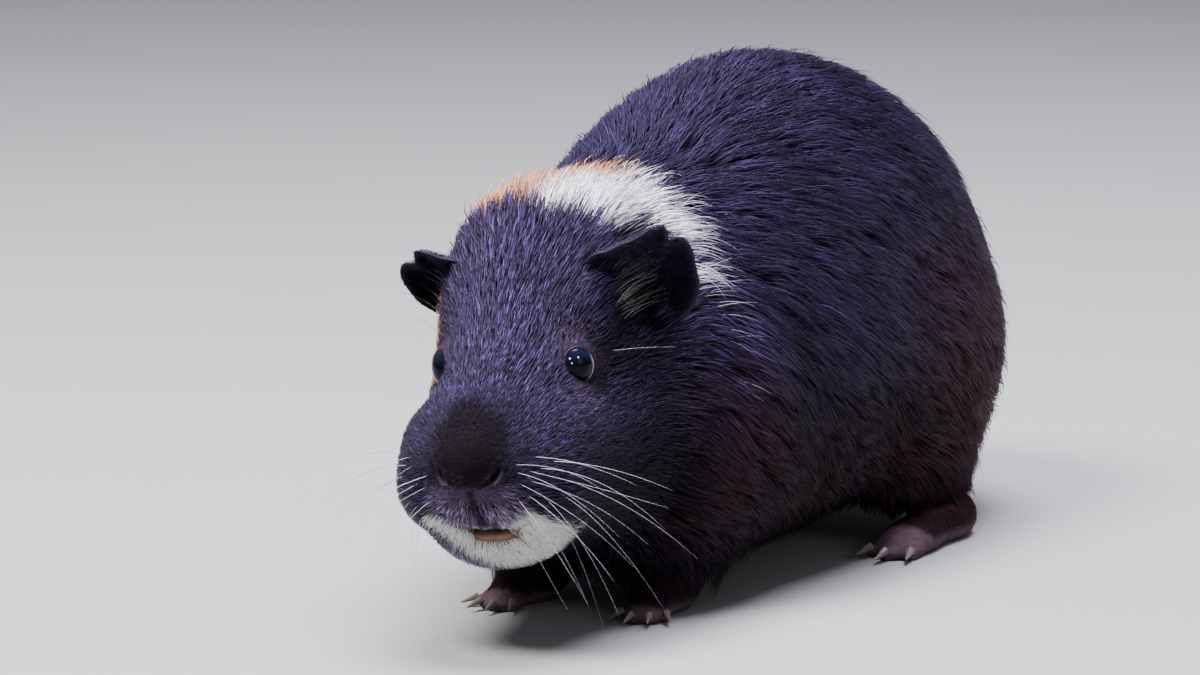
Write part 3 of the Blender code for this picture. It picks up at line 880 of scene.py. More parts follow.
def sheen_and_pale_hairs_at(roots, local):
    """(strength, pads): how strongly the light hairs and the painted sky sheen show, most on the lips and
    whisker pads, and where pads are.
    """
    sheen_and_pale_hairs = mix(2.1, 0.56 * ramp(roots[:, 2], 26, 62), ramp(behind_head(roots), -6, 24))
    pads = ramp(local[:, 1], 17, 9) * ramp(local[:, 2], 1, -5)
    lips = pads * ramp(np.abs(local[:, 0] - 1), 14, 7) * ramp(local[:, 2], -3, -8.5)
    bridge = bell(local[:, 1] - 24, 13) * ramp(np.abs(local[:, 0]), 14, 6) * ramp(local[:, 2], 3, 10)
    sheen_and_pale_hairs = sheen_and_pale_hairs * (1 + 0.25 * bridge)
    # Less painted sheen and fewer pale hairs in the groove, where shade falls.
    shaded_groove = bell(philtrum_off(local), 1.0) * pads
    return sheen_and_pale_hairs * (1 + 0.4 * pads + 4.5 * lips) * (1 - 0.9 * shaded_groove), pads * (1 - 0.9 * shaded_groove)


def shades(roots, normals, ear, tint, light):
    """Colour along each tuft: dark at the root, a painted shade deep in the coat, its own tint along it,
    paler towards the tip, and a painted sky sheen where it faces up.
    """
    local = HEAD.local(roots)
    jitter = RNG.normal(0, 1, roots.shape) * mix(0.55, 1.5, ramp(behind_head(roots), -25, 5))[:, None]
    colour = mix_colour(markings(roots + jitter, local + jitter), mix(BLACK, SKY_SHEEN_VIOLET, 0.12), ear)
    pale = ramp(colour.mean(1), 0.08, 0.3)
    colour = colour * mix(tint, 0.96 + 0.04 * tint, pale)[:, None]
    # Painted shade: each tuft darkens towards its root, deep in the coat; pale tufts hardly do.
    floor = mix(0.25, 0.98, pale)[:, None]
    glow = floor + (1 - floor) * ramp(ALONG, 0, 0.6)[None]
    made = colour[:, None] * glow[..., None]
    # Painted sky sheen: light hairs show violet where a tuft faces up, most on the head; on the pads and lips
    # pale hairs show whichever way they face.
    sheen_and_pale_hairs, pads = sheen_and_pale_hairs_at(roots, local)
    facing = mix(0.02, -0.5, ramp(behind_head(roots), -10, 10))
    sky = np.maximum(ramp(normals[:, 2] - facing, 0, 1.0), 0.5 * pads) * (1 - pale)
    brown = ramp(shield_at(local, 0), 0.62, 1.3)
    lift = light * sky * sheen_and_pale_hairs * mix(0.03, 1, brown) * (1 - 0.5 * ear)
    lift *= mix(0.35, 1, ramp(eye_distance(local), 6, 11))
    lift = lift[:, None] * ramp(ALONG, 0.15, 0.9)[None]
    hanging = pads * ramp(local[:, 2], -3, -8.5) * ramp(np.abs(local[:, 0] - 1), 14, 7)
    glow = mix_colour(np.tile(SKY_SHEEN_VIOLET, (len(roots), 1)), LIP_PALE, hanging**2 * 0.7)
    return (made + lift[..., None] * glow[:, None]).reshape(-1, 3)


def strand_places(count):
    """Across, along and a number of its own for each tuft, which the material draws hairs from."""
    made = np.empty((count, TUFT_SIZE, 3))
    made[..., 0] = ACROSS
    made[..., 1] = ALONG
    made[..., 2] = RNG.uniform(0, 500, count)[:, None]
    return made.reshape(-1, 3)


def grow(name, coat, roots, normals, ear, sizes, style, material):
    """One coat piece: a closed tapered tuft at each root."""
    count = len(roots)
    length, height, width = sizes
    flow = flow_at(roots, HEAD.local(roots), normals)
    angle = style["stray"] * RNG.normal(0, 1, count) * (1 + 3.5 * ear)
    tint = RNG.uniform(*style["tints"], count)
    light = RNG.uniform(0, 1, count) ** style["rarity"]
    # Clumps share a turn, a tint, a light and a length.
    leaders = RNG.choice(count, max(1, count // style["clump"]), replace=False)
    owner = nearest(tree_of(roots[leaders]), roots)
    angle += style["sway"] * RNG.normal(0, 1, len(leaders))[owner]
    tint *= RNG.uniform(0.65, 1.35, len(leaders))[owner]
    light = np.clip(light * RNG.uniform(0.2, 1.7, len(leaders))[owner], 0, 1)
    length = length * RNG.uniform(0.85, 1.15, len(leaders))[owner]
    angle += style["drift"] * wobble(roots, style["drift_size"], DRIFT_SEED)
    flow = turned_about(flow, normals, angle)
    length = length * RNG.uniform(0.75, 1.2, count)
    leader = leaders[owner]
    together = roots[leader] + flow[leader] * length[:, None]
    ends = mix(roots + flow * length[:, None], together, style["gather"])
    rise = height * RNG.uniform(style["low"], 1.06, count)
    rise *= 1 + style["guard"] * (RNG.uniform(0, 1, count) < 0.06)
    ends, end_normals = coat.settle(ends, rise)
    ends[:, 2] = np.maximum(ends[:, 2], 0.6)
    start = roots - normals * 0.3
    middle = mix(start, ends, 0.45) + normals * (rise * 0.55 + 0.1 * length)[:, None]
    side = unit(np.cross(flow, normals))
    phase = RNG.uniform(0, 2 * math.pi, count)
    path, across, up, widths = [], [], [], []
    for step in np.linspace(0, 1, TUFT_STEPS):
        place = start * (1 - step) ** 2 + middle * 2 * step * (1 - step) + ends * step**2
        swing = style["wave"] * np.sin(2 * math.pi * 1.15 * step + phase) * step
        tangent = unit((middle - start) * (1 - step) + (ends - middle) * step + flow * 1e-3)
        wide = unit(np.cross(tangent, unit(mix(normals, end_normals, step))))
        path.append(place + side * (swing * length)[:, None])
        across.append(wide)
        up.append(unit(np.cross(wide, tangent)))
        widths.append(width * (0.75 + 0.5 * step) * (1 - step**1.6) ** 0.8 + 0.004)
    points = tuft_points(*(np.stack(part, 1) for part in (path, across, up, widths)))
    colours = shades(roots, normals, ear, tint, light)
    strand = strand_places(count)
    hair_piece(name, points, tuft_triangles(count), colours, strand, bake_uv(roots), material)


# The head's fur at distances back from the nose: tufts in mm, and how many on a square millimetre.
FUR_PLACES = (0, 5, 12, 22, 32, 45, 60, 75)
FUR_LENGTH = (1.3, 1.9, 2.7, 3.8, 5.0, 6.6, 9.0, 12.0)
FUR_HEIGHT = (0.35, 0.45, 0.65, 0.9, 1.1, 1.5, 2.3, 3.3)
FUR_WIDTH = (0.085, 0.10, 0.12, 0.145, 0.16, 0.18, 0.20, 0.22)
FUR_DENSITY = (9.0, 8.0, 6.5, 5.2, 4.6, 3.8, 2.7, 1.9)


def coat_sizes(roots, normals, ear):
    """Length, height and width of the coat at each root, as three rows."""
    local = HEAD.local(roots)
    ly, lz = local[:, 1], local[:, 2]
    body = ramp(behind_head(roots), -10, 10)
    sizes = np.array([np.interp(ly, FUR_PLACES, row) for row in (FUR_LENGTH, FUR_HEIGHT, FUR_WIDTH)])
    # Longer hair hangs from the lips and the chin and stands before the ears, and the nape has a crest.
    lower = ramp(lz, -1, -8) * ramp(ly, 24, 8)
    crest = bell(ly - 57, 11) * ramp(lz, 22, 32) * ramp(np.abs(local[:, 0]), 20, 11)
    before_ear = bell(away(folded(local), BEFORE_EAR), 6.0)
    for share, longer, higher in ((lower, 0.9, 0.9), (crest, 0.35, 1.5), (before_ear, 0.8, 1.2)):
        sizes[0] *= 1 + longer * share
        sizes[1] *= 1 + higher * share
    eye = ramp(eye_distance(local), 5.5, 10)
    sizes[0] *= mix(0.45, 1, eye)
    sizes[1] *= mix(0.35, 1, eye)
    limb = ramp(roots[:, 2], 8, 30)
    on_body = np.array([mix(5.0, 14.0, limb), mix(1.2, 3.6, limb), mix(0.17, 0.23, limb)])
    sizes = mix(sizes, on_body, body)
    under = ramp(-normals[:, 2], 0.05, 0.6) * body * ramp(roots[:, 2], 9, 14)
    sizes[0] = mix(sizes[0], 11.0, under)
    sizes[1] = mix(sizes[1], 5.2, under)
    shield = ramp(shield_at(local, 0), 1.1, 0.7)
    sizes[0] *= mix(1, 0.75, shield)
    sizes[2] *= mix(1, 0.8, shield)
    sizes = mix(sizes, np.array((1.8, 0.35, 0.11))[:, None], feet_weight(roots))
    return mix(sizes, np.array((2.6, 0.6, 0.10))[:, None], ear)


def density_at(points, local, normals, ear):
    """Tufts per square millimetre."""
    ly = local[:, 1]
    body = ramp(behind_head(points), -10, 10)
    limb = ramp(points[:, 2], 8, 26)
    density = mix(np.interp(ly, FUR_PLACES, FUR_DENSITY), mix(2.6, 1.42, limb), body)
    density = mix(density, 3.7, ear)
    density *= mix(1, 0.6, ramp(normals[:, 2], -0.55, -0.9) * body)
    density *= ramp(points[:, 2] - fur_floor(points), -0.6, 1.4)
    # Bare places: the nostrils, the lip, the lids.
    for _, side in SIDES:
        along, across = nostril(local, side)
        slit = (np.abs(along) < 1.05) & (across > -1.3) & (across < 1.5)
        density = np.where(slit & (ly < 9), 0, density)
    off, gap = lip_place(local)
    lip = (gap > -2.5) & (gap < 0.2) & (np.abs(off) < 4.9) & (ly < 12)
    density = np.where(lip | on_ball(local), 0, density)
    density *= 1 + 0.9 * pale_at(points, local) * (ly > 20)
    density *= 1 + 0.5 * ramp(shield_at(local, 0), 1.2, 0.9) * (ly < 17)
    return density * (1 + 1.6 * ramp(eye_distance(local), EYE_RADIUS + 3.5, EYE_RADIUS + 0.5))


# How the tufts lie. clump: tufts in a clump. gather: how far they lean to its leader. stray, sway and
# drift: turns of a tuft, of a clump, and of all within drift_size. low: the lowest tuft's share of the
# height. wave: a bend from side to side. rarity: how rare light hairs are. guard: how far guard hairs
# stand out. tints: the darkest and the lightest.
HEAD_STYLE = {
    "clump": 6, "gather": 0.2, "stray": 0.11, "sway": 0.06, "drift": 0.10, "drift_size": 14,
    "low": 0.45, "wave": 0.0, "rarity": 4.0, "guard": 0.2, "tints": (0.3, 1.65),
}
BODY_STYLE = {
    "clump": 16, "gather": 0.35, "stray": 0.075, "sway": 0.10, "drift": 0.16, "drift_size": 34,
    "low": 0.55, "wave": 0.02, "rarity": 3.0, "guard": 0.35, "tints": (0.6, 1.35),
}


# Where the coat's pieces meet: heights and places along the body, then places on the head.
FLANK_TOP, BELLY_TOP, FEET_TOP, SHOULDER_END, RUMP_START = 62, 30, 10.5, 5, 82
NAPE_START, BROW_END, BROW_BASE, MUZZLE_END = 40, 54, 14, 17


def coat_labels(roots):
    """The coat piece that each root belongs to. A later line goes over an earlier one."""
    local = HEAD.local(roots)
    lx, ly, lz = local.T
    x, y, z = roots.T
    behind = behind_head(roots)
    labels = np.full(len(roots), "back", dtype="<U24")
    labels[z < FLANK_TOP] = "flank"
    labels[y > RUMP_START] = "rump"
    labels[(z < BELLY_TOP) & (y <= RUMP_START)] = "belly"
    labels[(y < SHOULDER_END) & (z >= BELLY_TOP)] = "shoulder"
    labels = np.char.add(labels, np.where(x > 0, "_left", "_right"))
    labels[(behind < 8) & (ly > NAPE_START)] = "nape"
    head = behind < 0
    labels[head & (lx > 0) & (lz < BROW_BASE)] = "cheek_left"
    labels[head & (lx <= 0) & (lz < BROW_BASE)] = "cheek_right"
    labels[head & (lz >= BROW_BASE) & (ly <= BROW_END)] = "brow"
    labels[head & (ly < MUZZLE_END)] = "muzzle"
    fray = wobble(roots, *FINE) + 1.6 * wobble(roots, *FRAY)
    labels[shield_at(local, fray) < 0.86] = "nose"
    labels[z < FEET_TOP] = "feet"
    return labels


def make_coat(skin_mesh, ear):
    """Grows all the coat pieces. Gives the coat, and the look that the long hairs share."""
    coat = Coat(skin_mesh, ear)
    centre_ear = coat.ear[coat.triangles].max(1)
    density = density_at(coat.centre, HEAD.local(coat.centre), coat.facing, centre_ear)
    roots, normals, ear = coat.sample(density)
    sizes = coat_sizes(roots, normals, ear)
    labels = coat_labels(roots)
    head_look = coat_material("coat_head", 0.38, 0.25)
    body_look = coat_material("coat_body", 0.48, 0.16)
    nose_look = coat_material("coat_nose", 0.6, 0.08)
    for label in sorted(set(labels)):
        here = labels == label
        on_head = label in ("muzzle", "nose", "brow", "cheek_left", "cheek_right", "feet")
        style, look = (HEAD_STYLE, head_look) if on_head else (BODY_STYLE, body_look)
        look = nose_look if label == "nose" else look
        grow("coat_" + label, coat, roots[here], normals[here], ear[here], sizes[:, here], style, look)
    return coat, head_look


# ---------------------------------------------------------------- long hairs

STRAND_STEPS = 12
STRAND_SIDES = 4


def strand_mesh(paths, radii):
    """(points, triangles) of tapered closed tubes along paths of (strands, steps, 3)."""
    tangent = unit(np.gradient(paths, axis=1))
    side = unit(np.cross(tangent, np.array((0.13, 0.21, 1.0))))
    up = np.cross(side, tangent)
    rings = []
    for corner in range(STRAND_SIDES):
        angle = 2 * math.pi * corner / STRAND_SIDES
        rings.append(paths + (side * math.cos(angle) + up * math.sin(angle)) * radii[..., None])
    one = tube_wall(STRAND_SIDES, STRAND_STEPS)
    last = STRAND_SIDES * (STRAND_STEPS - 1)
    for corner in range(1, STRAND_SIDES - 1):
        one += [(0, corner + 1, corner), (last, last + corner, last + corner + 1)]
    return np.stack(rings, 2).reshape(-1, 3), repeated(one, len(paths), STRAND_STEPS * STRAND_SIDES)


def strands(name, starts, headings, lengths, bends, thickness, colours, material):
    """Long free hairs. A strand leaves along its heading and bends by its bend vector."""
    share = np.linspace(0, 1, STRAND_STEPS)
    t = share[None, :, None]
    # A hair that would reach the floor is cut short.
    drop = np.minimum((headings + bends)[:, 2], -1e-6)
    lengths = np.minimum(lengths, np.maximum((1.0 - starts[:, 2]) / drop, 1.0))[:, None, None]
    paths = starts[:, None] + headings[:, None] * (lengths * t) + bends[:, None] * (lengths * t**2)
    radii = thickness[:, None] * (1 - 0.9 * share[None]) + 0.008
    points, triangles = strand_mesh(paths, radii)
    # Each hair has a small patch of its own in the bake.
    order = np.arange(len(starts))
    columns = int(math.ceil(math.sqrt(len(starts))))
    place = np.stack((order % columns, order // columns), 1) / columns * 0.95 + 0.02
    step = np.repeat(np.arange(STRAND_STEPS), STRAND_SIDES) / (STRAND_STEPS - 1)
    corner = np.tile(np.arange(STRAND_SIDES), STRAND_STEPS) / (STRAND_SIDES - 1)
    patch = np.stack((corner, step), 1) * BAKE_PATCH
    uv = (place[:, None] + patch[None]).reshape(-1, 2)
    colours = np.repeat(colours, STRAND_STEPS * STRAND_SIDES, axis=0)
    hair_piece(name, points, triangles, colours, np.full((len(points), 3), 0.5), uv, material)


# For each row of whiskers from the top: degrees below level, and millimetres long.
WHISKER_ROWS = ((2, 25), (12, 31), (24, 31), (42, 27), (64, 23))


def make_whiskers(coat, material):
    """Rows of whiskers on each pad, level at the top and hanging at the bottom, most of them white."""
    rng = np.random.default_rng(WHISKER_SEED)
    for name, side in SIDES:
        starts, headings, lengths, bends, thick, colours = [], [], [], [], [], []
        for row, (droop, longest) in enumerate(WHISKER_ROWS):
            for column in range(4):
                across = side * (10.2 + 1.5 * column - 0.9 * max(0, row - 2))
                level = 1.0 - 2.5 * row - 0.3 * column + rng.uniform(-0.5, 0.5)
                place = np.array((across, 2.0 + 2.2 * column, level))
                angle = math.radians(droop + rng.normal(0, 6))
                back = -0.15 + 0.13 * column + rng.normal(0, 0.06)
                out = np.array((side * math.cos(angle), back, -math.sin(angle)))
                starts.append(coat.points[nearest(coat.tree, HEAD.world(place[None]))[0]])
                headings.append(HEAD.turned(unit(out)[None])[0])
                lengths.append(longest * rng.uniform(0.7, 1.08))
                sag = (-side * rng.uniform(0, 0.25), rng.uniform(0.05, 0.4), -rng.uniform(0.1, 0.65))
                bends.append(HEAD.turned(np.array([sag]))[0])
                pale = rng.uniform() < (0.55 if row == 0 else 0.85)
                white = WHISKER_WHITE * rng.uniform(0.6, 1)
                colours.append(white if pale else BLACK * 2)
                thick.append(rng.uniform(0.020, 0.038))
        rows = (starts, headings, lengths, bends, thick, colours)
        strands("whiskers_" + name, *map(np.array, rows), material)


# How many pale hairs rise before each ear.
EAR_HAIRS = {"left": 50, "right": 12}

# Long hairs over and behind each eye, in the head's frame: start, heading, bend and colour.
BROW_HAIRS = (
    ((20.5, 43.5, 10.0), (0.95, 0.28, 0.02), (0.05, 0.2, -0.15), WISP * 0.6),
    ((15.0, 36.0, 17.5), (0.75, -0.25, 0.6), (0.1, 0.35, -0.1), BLACK * 2),
    ((16.0, 40.0, 17.0), (0.85, 0.1, 0.5), (0.1, 0.4, -0.1), BLACK * 2),
)


def make_brow_hairs(coat, material):
    """A few long single hairs round each eye."""
    rng = np.random.default_rng(BROW_HAIR_SEED)
    starts, headings, bends, colours = (np.array(column) for column in zip(*BROW_HAIRS))
    for name, side in SIDES:
        on_skin = coat.points[nearest(coat.tree, HEAD.world(mirrored(starts, side)))]
        heading = HEAD.turned(mirrored(unit(headings), side))
        bend = HEAD.turned(mirrored(bends, side))
        lengths = rng.uniform(10, 14, len(BROW_HAIRS))
        thick = np.full(len(BROW_HAIRS), 0.035)
        strands("brow_hairs_" + name, on_skin, heading, lengths, bend, thick, colours, material)


# Hairs along the collar's rear edge.
EDGE_WISPS = 150
# Where wisps of the collar stray over the black of the shoulder: (height z, y) and hairs in each.
STRAY_WISPS = (((71, -48), 5), ((67.5, -46.5), 3), ((62.5, -46), 3), ((51.5, -45), 2))


def make_wisps(coat, material):
    """Long white hairs that curl up from the collar's rear edge and down again over the black."""
    rng = np.random.default_rng(WISP_SEED)
    x, y, z = coat.points.T
    past = y - np.interp(z, COLLAR_LEVELS, COLLAR_REAR)
    on_edge = np.flatnonzero((past > 2) & (past < 6) & (z > 71) & (x > -3) & (coat.ear == 0))
    chosen = list(rng.choice(on_edge, EDGE_WISPS, replace=False))
    swing = list(0.5 * wobble(coat.points[chosen], *CURL))
    for (level, place), count in STRAY_WISPS:
        near = np.flatnonzero((np.abs(z - level) < 1.4) & (np.abs(y - place) < 1.4) & (x > 0))
        chosen += list(rng.choice(near, count))
        swing += [0.2] * count
    starts, normals = coat.points[chosen], coat.normals[chosen]
    flow = flow_at(starts, HEAD.local(starts), normals)
    flow = turned_about(flow, normals, np.array(swing) + rng.normal(0, 0.12, len(chosen)))
    headings = unit(flow * 0.6 + normals * 0.85)
    bends = flow * 0.3 - normals * 0.66
    lengths = rng.uniform(10, 17, len(chosen))
    thick = rng.uniform(0.035, 0.065, len(chosen))
    colours = WISP * rng.uniform(0.7, 1.1, (len(chosen), 1))
    colours[EDGE_WISPS:] *= 0.55
    strands("collar_wisps", starts, headings, lengths, bends, thick, colours, material)


def make_ear_hairs(coat, material):
    """Fine pale hairs that rise from before each ear and sweep back over its hollow."""
    rng = np.random.default_rng(EAR_HAIR_SEED)
    for name, side in SIDES:
        local = mirrored(HEAD.local(coat.points), side)
        off = away(local, EAR_MOUTH)
        before = (local[:, 1] < 55) & (local[:, 2] > 13)
        near = np.flatnonzero((coat.ear == 0) & (off > 4) & (off < 9.5) & before)
        chosen = rng.choice(near, EAR_HAIRS[name])
        heading = np.array((0.60, 0.15, 0.85)) + rng.normal(0, 0.2, (len(chosen), 3))
        headings = HEAD.turned(mirrored(unit(heading), side))
        bends = HEAD.turned(np.tile(mirrored(np.array((0.3, 0.35, -0.25)), side), (len(chosen), 1)))
        lengths = rng.uniform(6, 12.5, len(chosen))
        colours = EAR_HAIR_PALE * rng.uniform(0.1, 1.1, (len(chosen), 1))
        thick = rng.uniform(0.022, 0.05, len(chosen))
        starts = coat.points[chosen]
        strands("ear_hairs_" + name, starts, headings, lengths, bends, thick, colours, material)


# ---------------------------------------------------------------- eyes and lids


# An eyeball's points round the gaze, and rings along it.
BALL_STEPS = (48, 28)


def globe(name, centre, axis, material):
    """A smooth eyeball with a slightly fuller cornea, its pole along the gaze, with a painted sky reflection:
    bluer where it faces up.
    """
    around, along = BALL_STEPS
    up = unit(np.cross(axis, (0.1, 0.9, 0.2)))
    side = np.cross(up, axis)
    points, triangles = [axis * EYE_RADIUS * (1 + CORNEA)], []
    for i in range(1, along):
        polar = math.pi * i / along
        swell = 1 + CORNEA * max(0.0, math.cos(polar)) ** 4
        for j in range(around):
            turn = 2 * math.pi * j / around
            out = side * math.cos(turn) + up * math.sin(turn)
            points.append((axis * math.cos(polar) + out * math.sin(polar)) * EYE_RADIUS * swell)
    points.append(-axis * EYE_RADIUS)
    last = 1 + (along - 2) * around
    for j in range(around):
        k = (j + 1) % around
        triangles.append((0, 1 + j, 1 + k))
        for i in range(along - 2):
            a, b = 1 + i * around + j, 1 + i * around + k
            triangles += [(a, a + around, b + around), (a, b + around, b)]
        triangles.append((last + j, len(points) - 1, last + k))
    points = np.array(points)
    # Painted sky reflection: the ball's upper half is bluer.
    upper = ramp(points[:, 2] / EYE_RADIUS, 0.0, 0.75)
    colours = mix_colour(np.tile(EYE_BLACK, (len(points), 1)), EYE_SKY_REFLECTION, upper)
    made = piece(name, points + centre, np.array(triangles), colours, material)
    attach(made, "root")
    return made


LID_STEPS = 96
# The lids' section: degrees outward from the opening's edge, and millimetres over the ball.
LID_SECTION = (
    (0.0, -0.08), (-0.4, 0.08), (0.8, 0.22), (2.6, 0.30), (5.0, 0.33), (8.0, 0.20), (11.0, -0.35),
    (9.0, -0.9), (4.0, -0.7),
)


def lid_ring(name, centre, side, material):
    """The lids as one closed ring round a tall almond, its corner low and towards the nose."""
    around, size = LID_STEPS, len(LID_SECTION)
    gaze = gaze_of(side)
    forward, up = lid_axes(gaze, side)
    points, tones = [], []
    for j in range(around):
        turn = 2 * math.pi * j / around
        out = forward * math.cos(turn) + up * math.sin(turn)
        opening = lid_opening(out, gaze, side)
        # Painted reflection: pale where the rear edge is wet, near black towards the nose.
        wet_shine = ramp(-math.cos(turn), 0.1, 0.8) * ramp(-math.sin(turn), -0.6, 0.2)
        for k, (spread, rise) in enumerate(LID_SECTION):
            polar = math.radians(opening + spread)
            place = gaze * math.cos(polar) + out * math.sin(polar)
            points.append(place * (EYE_RADIUS + rise))
            tones.append(mix(BLACK, LID_SHINE, wet_shine if k in (2, 3) else 0.12 * wet_shine))
    triangles = []
    for j in range(around):
        here, beyond = j * size, (j + 1) % around * size
        for k in range(size):
            after = (k + 1) % size
            a, b, c, d = here + k, here + after, beyond + k, beyond + after
            triangles += [(a, c, d), (a, d, b)]
    points = np.array(points)
    core = gaze * math.cos(math.radians(44)) * EYE_RADIUS
    triangles = closed_outward(points, np.array(triangles), core)
    made = piece(name, HEAD.turned(points) + centre, triangles, np.array(tones), material)
    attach(made, "root")


# ---------------------------------------------------------------- materials


class Look:
    """A material being built, round one principled shader."""

    def __init__(self, name):
        self.material = bpy.data.materials.new(name)
        self.material.use_nodes = True
        self.tree = self.material.node_tree
        self.tree.nodes.clear()
        self.shader = self.tree.nodes.new("ShaderNodeBsdfPrincipled")
        out = self.tree.nodes.new("ShaderNodeOutputMaterial")
        self.feed(out.inputs["Surface"], self.shader.outputs[0])

    def feed(self, socket, value):
        """Gives an input a value, or joins another node's output to it."""
        if isinstance(value, bpy.types.NodeSocket):
            self.tree.links.new(value, socket)
        else:
            socket.default_value = value

    def set(self, **values):
        """Feeds the shader's inputs, given by name with _ for a space."""
        for key, value in values.items():
            self.feed(self.shader.inputs[key.replace("_", " ")], value)

    def node(self, kind, output, inputs, **settings):
        """One output of a new node of that kind, with its inputs fed."""
        made = self.tree.nodes.new("ShaderNode" + kind)
        for key, value in settings.items():
            setattr(made, key, value)
        for key, value in inputs.items():
            self.feed(made.inputs[key], value)
        return made.outputs[output]

    def place(self):
        return self.node("TexCoord", "Object", {})

    def attribute(self, name, output):
        return self.node("Attribute", output, {}, attribute_name=name)

    def noise(self, scale, detail, stretch=(1, 1, 1)):
        place = self.node("Mapping", "Vector", {"Vector": self.place(), "Scale": stretch})
        return self.node("TexNoise", "Fac", {"Vector": place, "Scale": scale, "Detail": detail})

    def spread(self, value, low, high, to_low, to_high):
        """The value, moved from the range low to high to the range to_low to to_high."""
        inputs = {"Value": value, "From Min": low, "From Max": high, "To Min": to_low, "To Max": to_high}
        return self.node("MapRange", "Result", inputs)

    def scaled(self, colour, factor):
        return self.node("VectorMath", "Vector", {0: colour, "Scale": factor}, operation="SCALE")

    def mottled(self, scale, detail, low, high):
        """The mesh's own colours, made darker and lighter in patches, as the base colour."""
        patchy = self.spread(self.noise(scale, detail), 0.3, 0.7, low, high)
        self.set(Base_Color=self.scaled(self.attribute("coat", "Color"), patchy))

    def two_tone(self, dark, light, factor):
        """Two colours, mixed by a factor, as the base colour."""
        inputs = {"A": (*dark, 1), "B": (*light, 1), "Factor": factor}
        self.set(Base_Color=self.node("Mix", "Result", inputs, data_type="RGBA"))

    def bump(self, height, strength, distance):
        inputs = {"Height": height, "Strength": strength, "Distance": distance}
        self.set(Normal=self.node("Bump", "Normal", inputs))


def coat_material(name, roughness, specular):
    """Each tuft carries several hairs, drawn as streaks along it in colour and bump."""
    t = Look(name)
    colour = t.attribute("coat", "Color")
    stretch = {0: t.attribute("strand", "Vector"), 1: (6.0, 0.9, 1.0)}
    place = t.node("VectorMath", "Vector", stretch, operation="MULTIPLY")
    hairs = t.node("TexNoise", "Fac", {"Vector": place, "Scale": 1.0, "Detail": 1.5})
    streak = t.spread(hairs, 0.32, 0.68, 0.4, 1.65)
    # Pale tufts show no streaks.
    pale = t.spread(t.node("RGBToBW", "Val", {"Color": colour}), 0.05, 0.35, 0, 1)
    even = t.node("Mix", "Result", {"Factor": pale, "A": streak, "B": 0.98}, data_type="FLOAT")
    t.set(Base_Color=t.scaled(colour, even), Roughness=roughness)
    t.set(Specular_IOR_Level=specular, Specular_Tint=(0.80, 0.63, 1.0, 1))
    t.set(Sheen_Weight=0.03, Sheen_Roughness=0.4, Sheen_Tint=(0.62, 0.58, 1.0, 1))
    t.bump(hairs, 0.5, 0.00012)
    return t.material


def skin_material():
    t = Look("skin")
    t.mottled(420, 4, 0.75, 1.25)
    t.set(Roughness=t.spread(t.noise(700, 3), 0.3, 0.7, 0.62, 0.82))
    t.set(Specular_IOR_Level=0.06, Specular_Tint=(0.9, 0.72, 0.9, 1))
    wrinkles = t.node("TexVoronoi", "Distance", {"Vector": t.place(), "Scale": 1500})
    t.bump(wrinkles, 0.35, 0.00018)
    return t.material


def lid_material():
    t = Look("lid")
    t.mottled(1800, 4, 0.7, 1.3)
    t.set(Roughness=0.45, Specular_IOR_Level=0.15)
    t.bump(t.noise(2600, 3), 0.4, 0.00012)
    return t.material


def eye_material():
    t = Look("eye")
    t.mottled(600, 3, 0.6, 1.4)
    t.set(Roughness=0.045, Specular_IOR_Level=0.09, Specular_Tint=(0.74, 0.84, 1.0, 1))
    return t.material


def horn_material():
    t = Look("horn")
    t.two_tone((0.055, 0.040, 0.038), (0.20, 0.155, 0.13), t.noise(700, 4, (1, 6, 1)))
    t.set(Roughness=0.38)
    t.bump(t.noise(1200, 3, (1, 5, 1)), 0.3, 0.0001)
    return t.material


def floor_material():
    t = Look("floor")
    t.two_tone((0.29, 0.29, 0.284), (0.32, 0.32, 0.314), t.noise(6, 4))
    t.set(Roughness=0.75)
    t.bump(t.noise(900, 3), 0.1, 0.0002)
    return t.material


def put(name, data, place, toward):
    """A camera or a lamp at a place in metres, looking along a direction."""
    made = bpy.data.objects.new(name, data)
    made.location = place
    made.rotation_mode = "QUATERNION"
    made.rotation_quaternion = toward.to_track_quat("-Z", "Y")
    bpy.context.scene.collection.objects.link(made)
    return made


# ---------------------------------------------------------------- stage

# The camera's turn and rise in degrees, its target and distance, and its lens.
CAMERA_TURN = 25.6
CAMERA_RISE = 9.1
CAMERA_TARGET = np.array((-22.63, 4.70, 50.6))
CAMERA_DISTANCE = 1100.0
CAMERA_LENS = 142.2


def make_camera():
    turn, rise = math.radians(CAMERA_TURN), math.radians(CAMERA_RISE)
    back = Vector((math.sin(turn) * math.cos(rise), -math.cos(turn) * math.cos(rise), math.sin(rise)))
    data = bpy.data.cameras.new("camera")
    data.lens = CAMERA_LENS
    data.sensor_width = 36
    data.clip_start = 0.05
    data.clip_end = 50
    place = Vector(CAMERA_TARGET * MM) + back * CAMERA_DISTANCE * MM
    bpy.context.scene.camera = put("camera", data, place, -back)


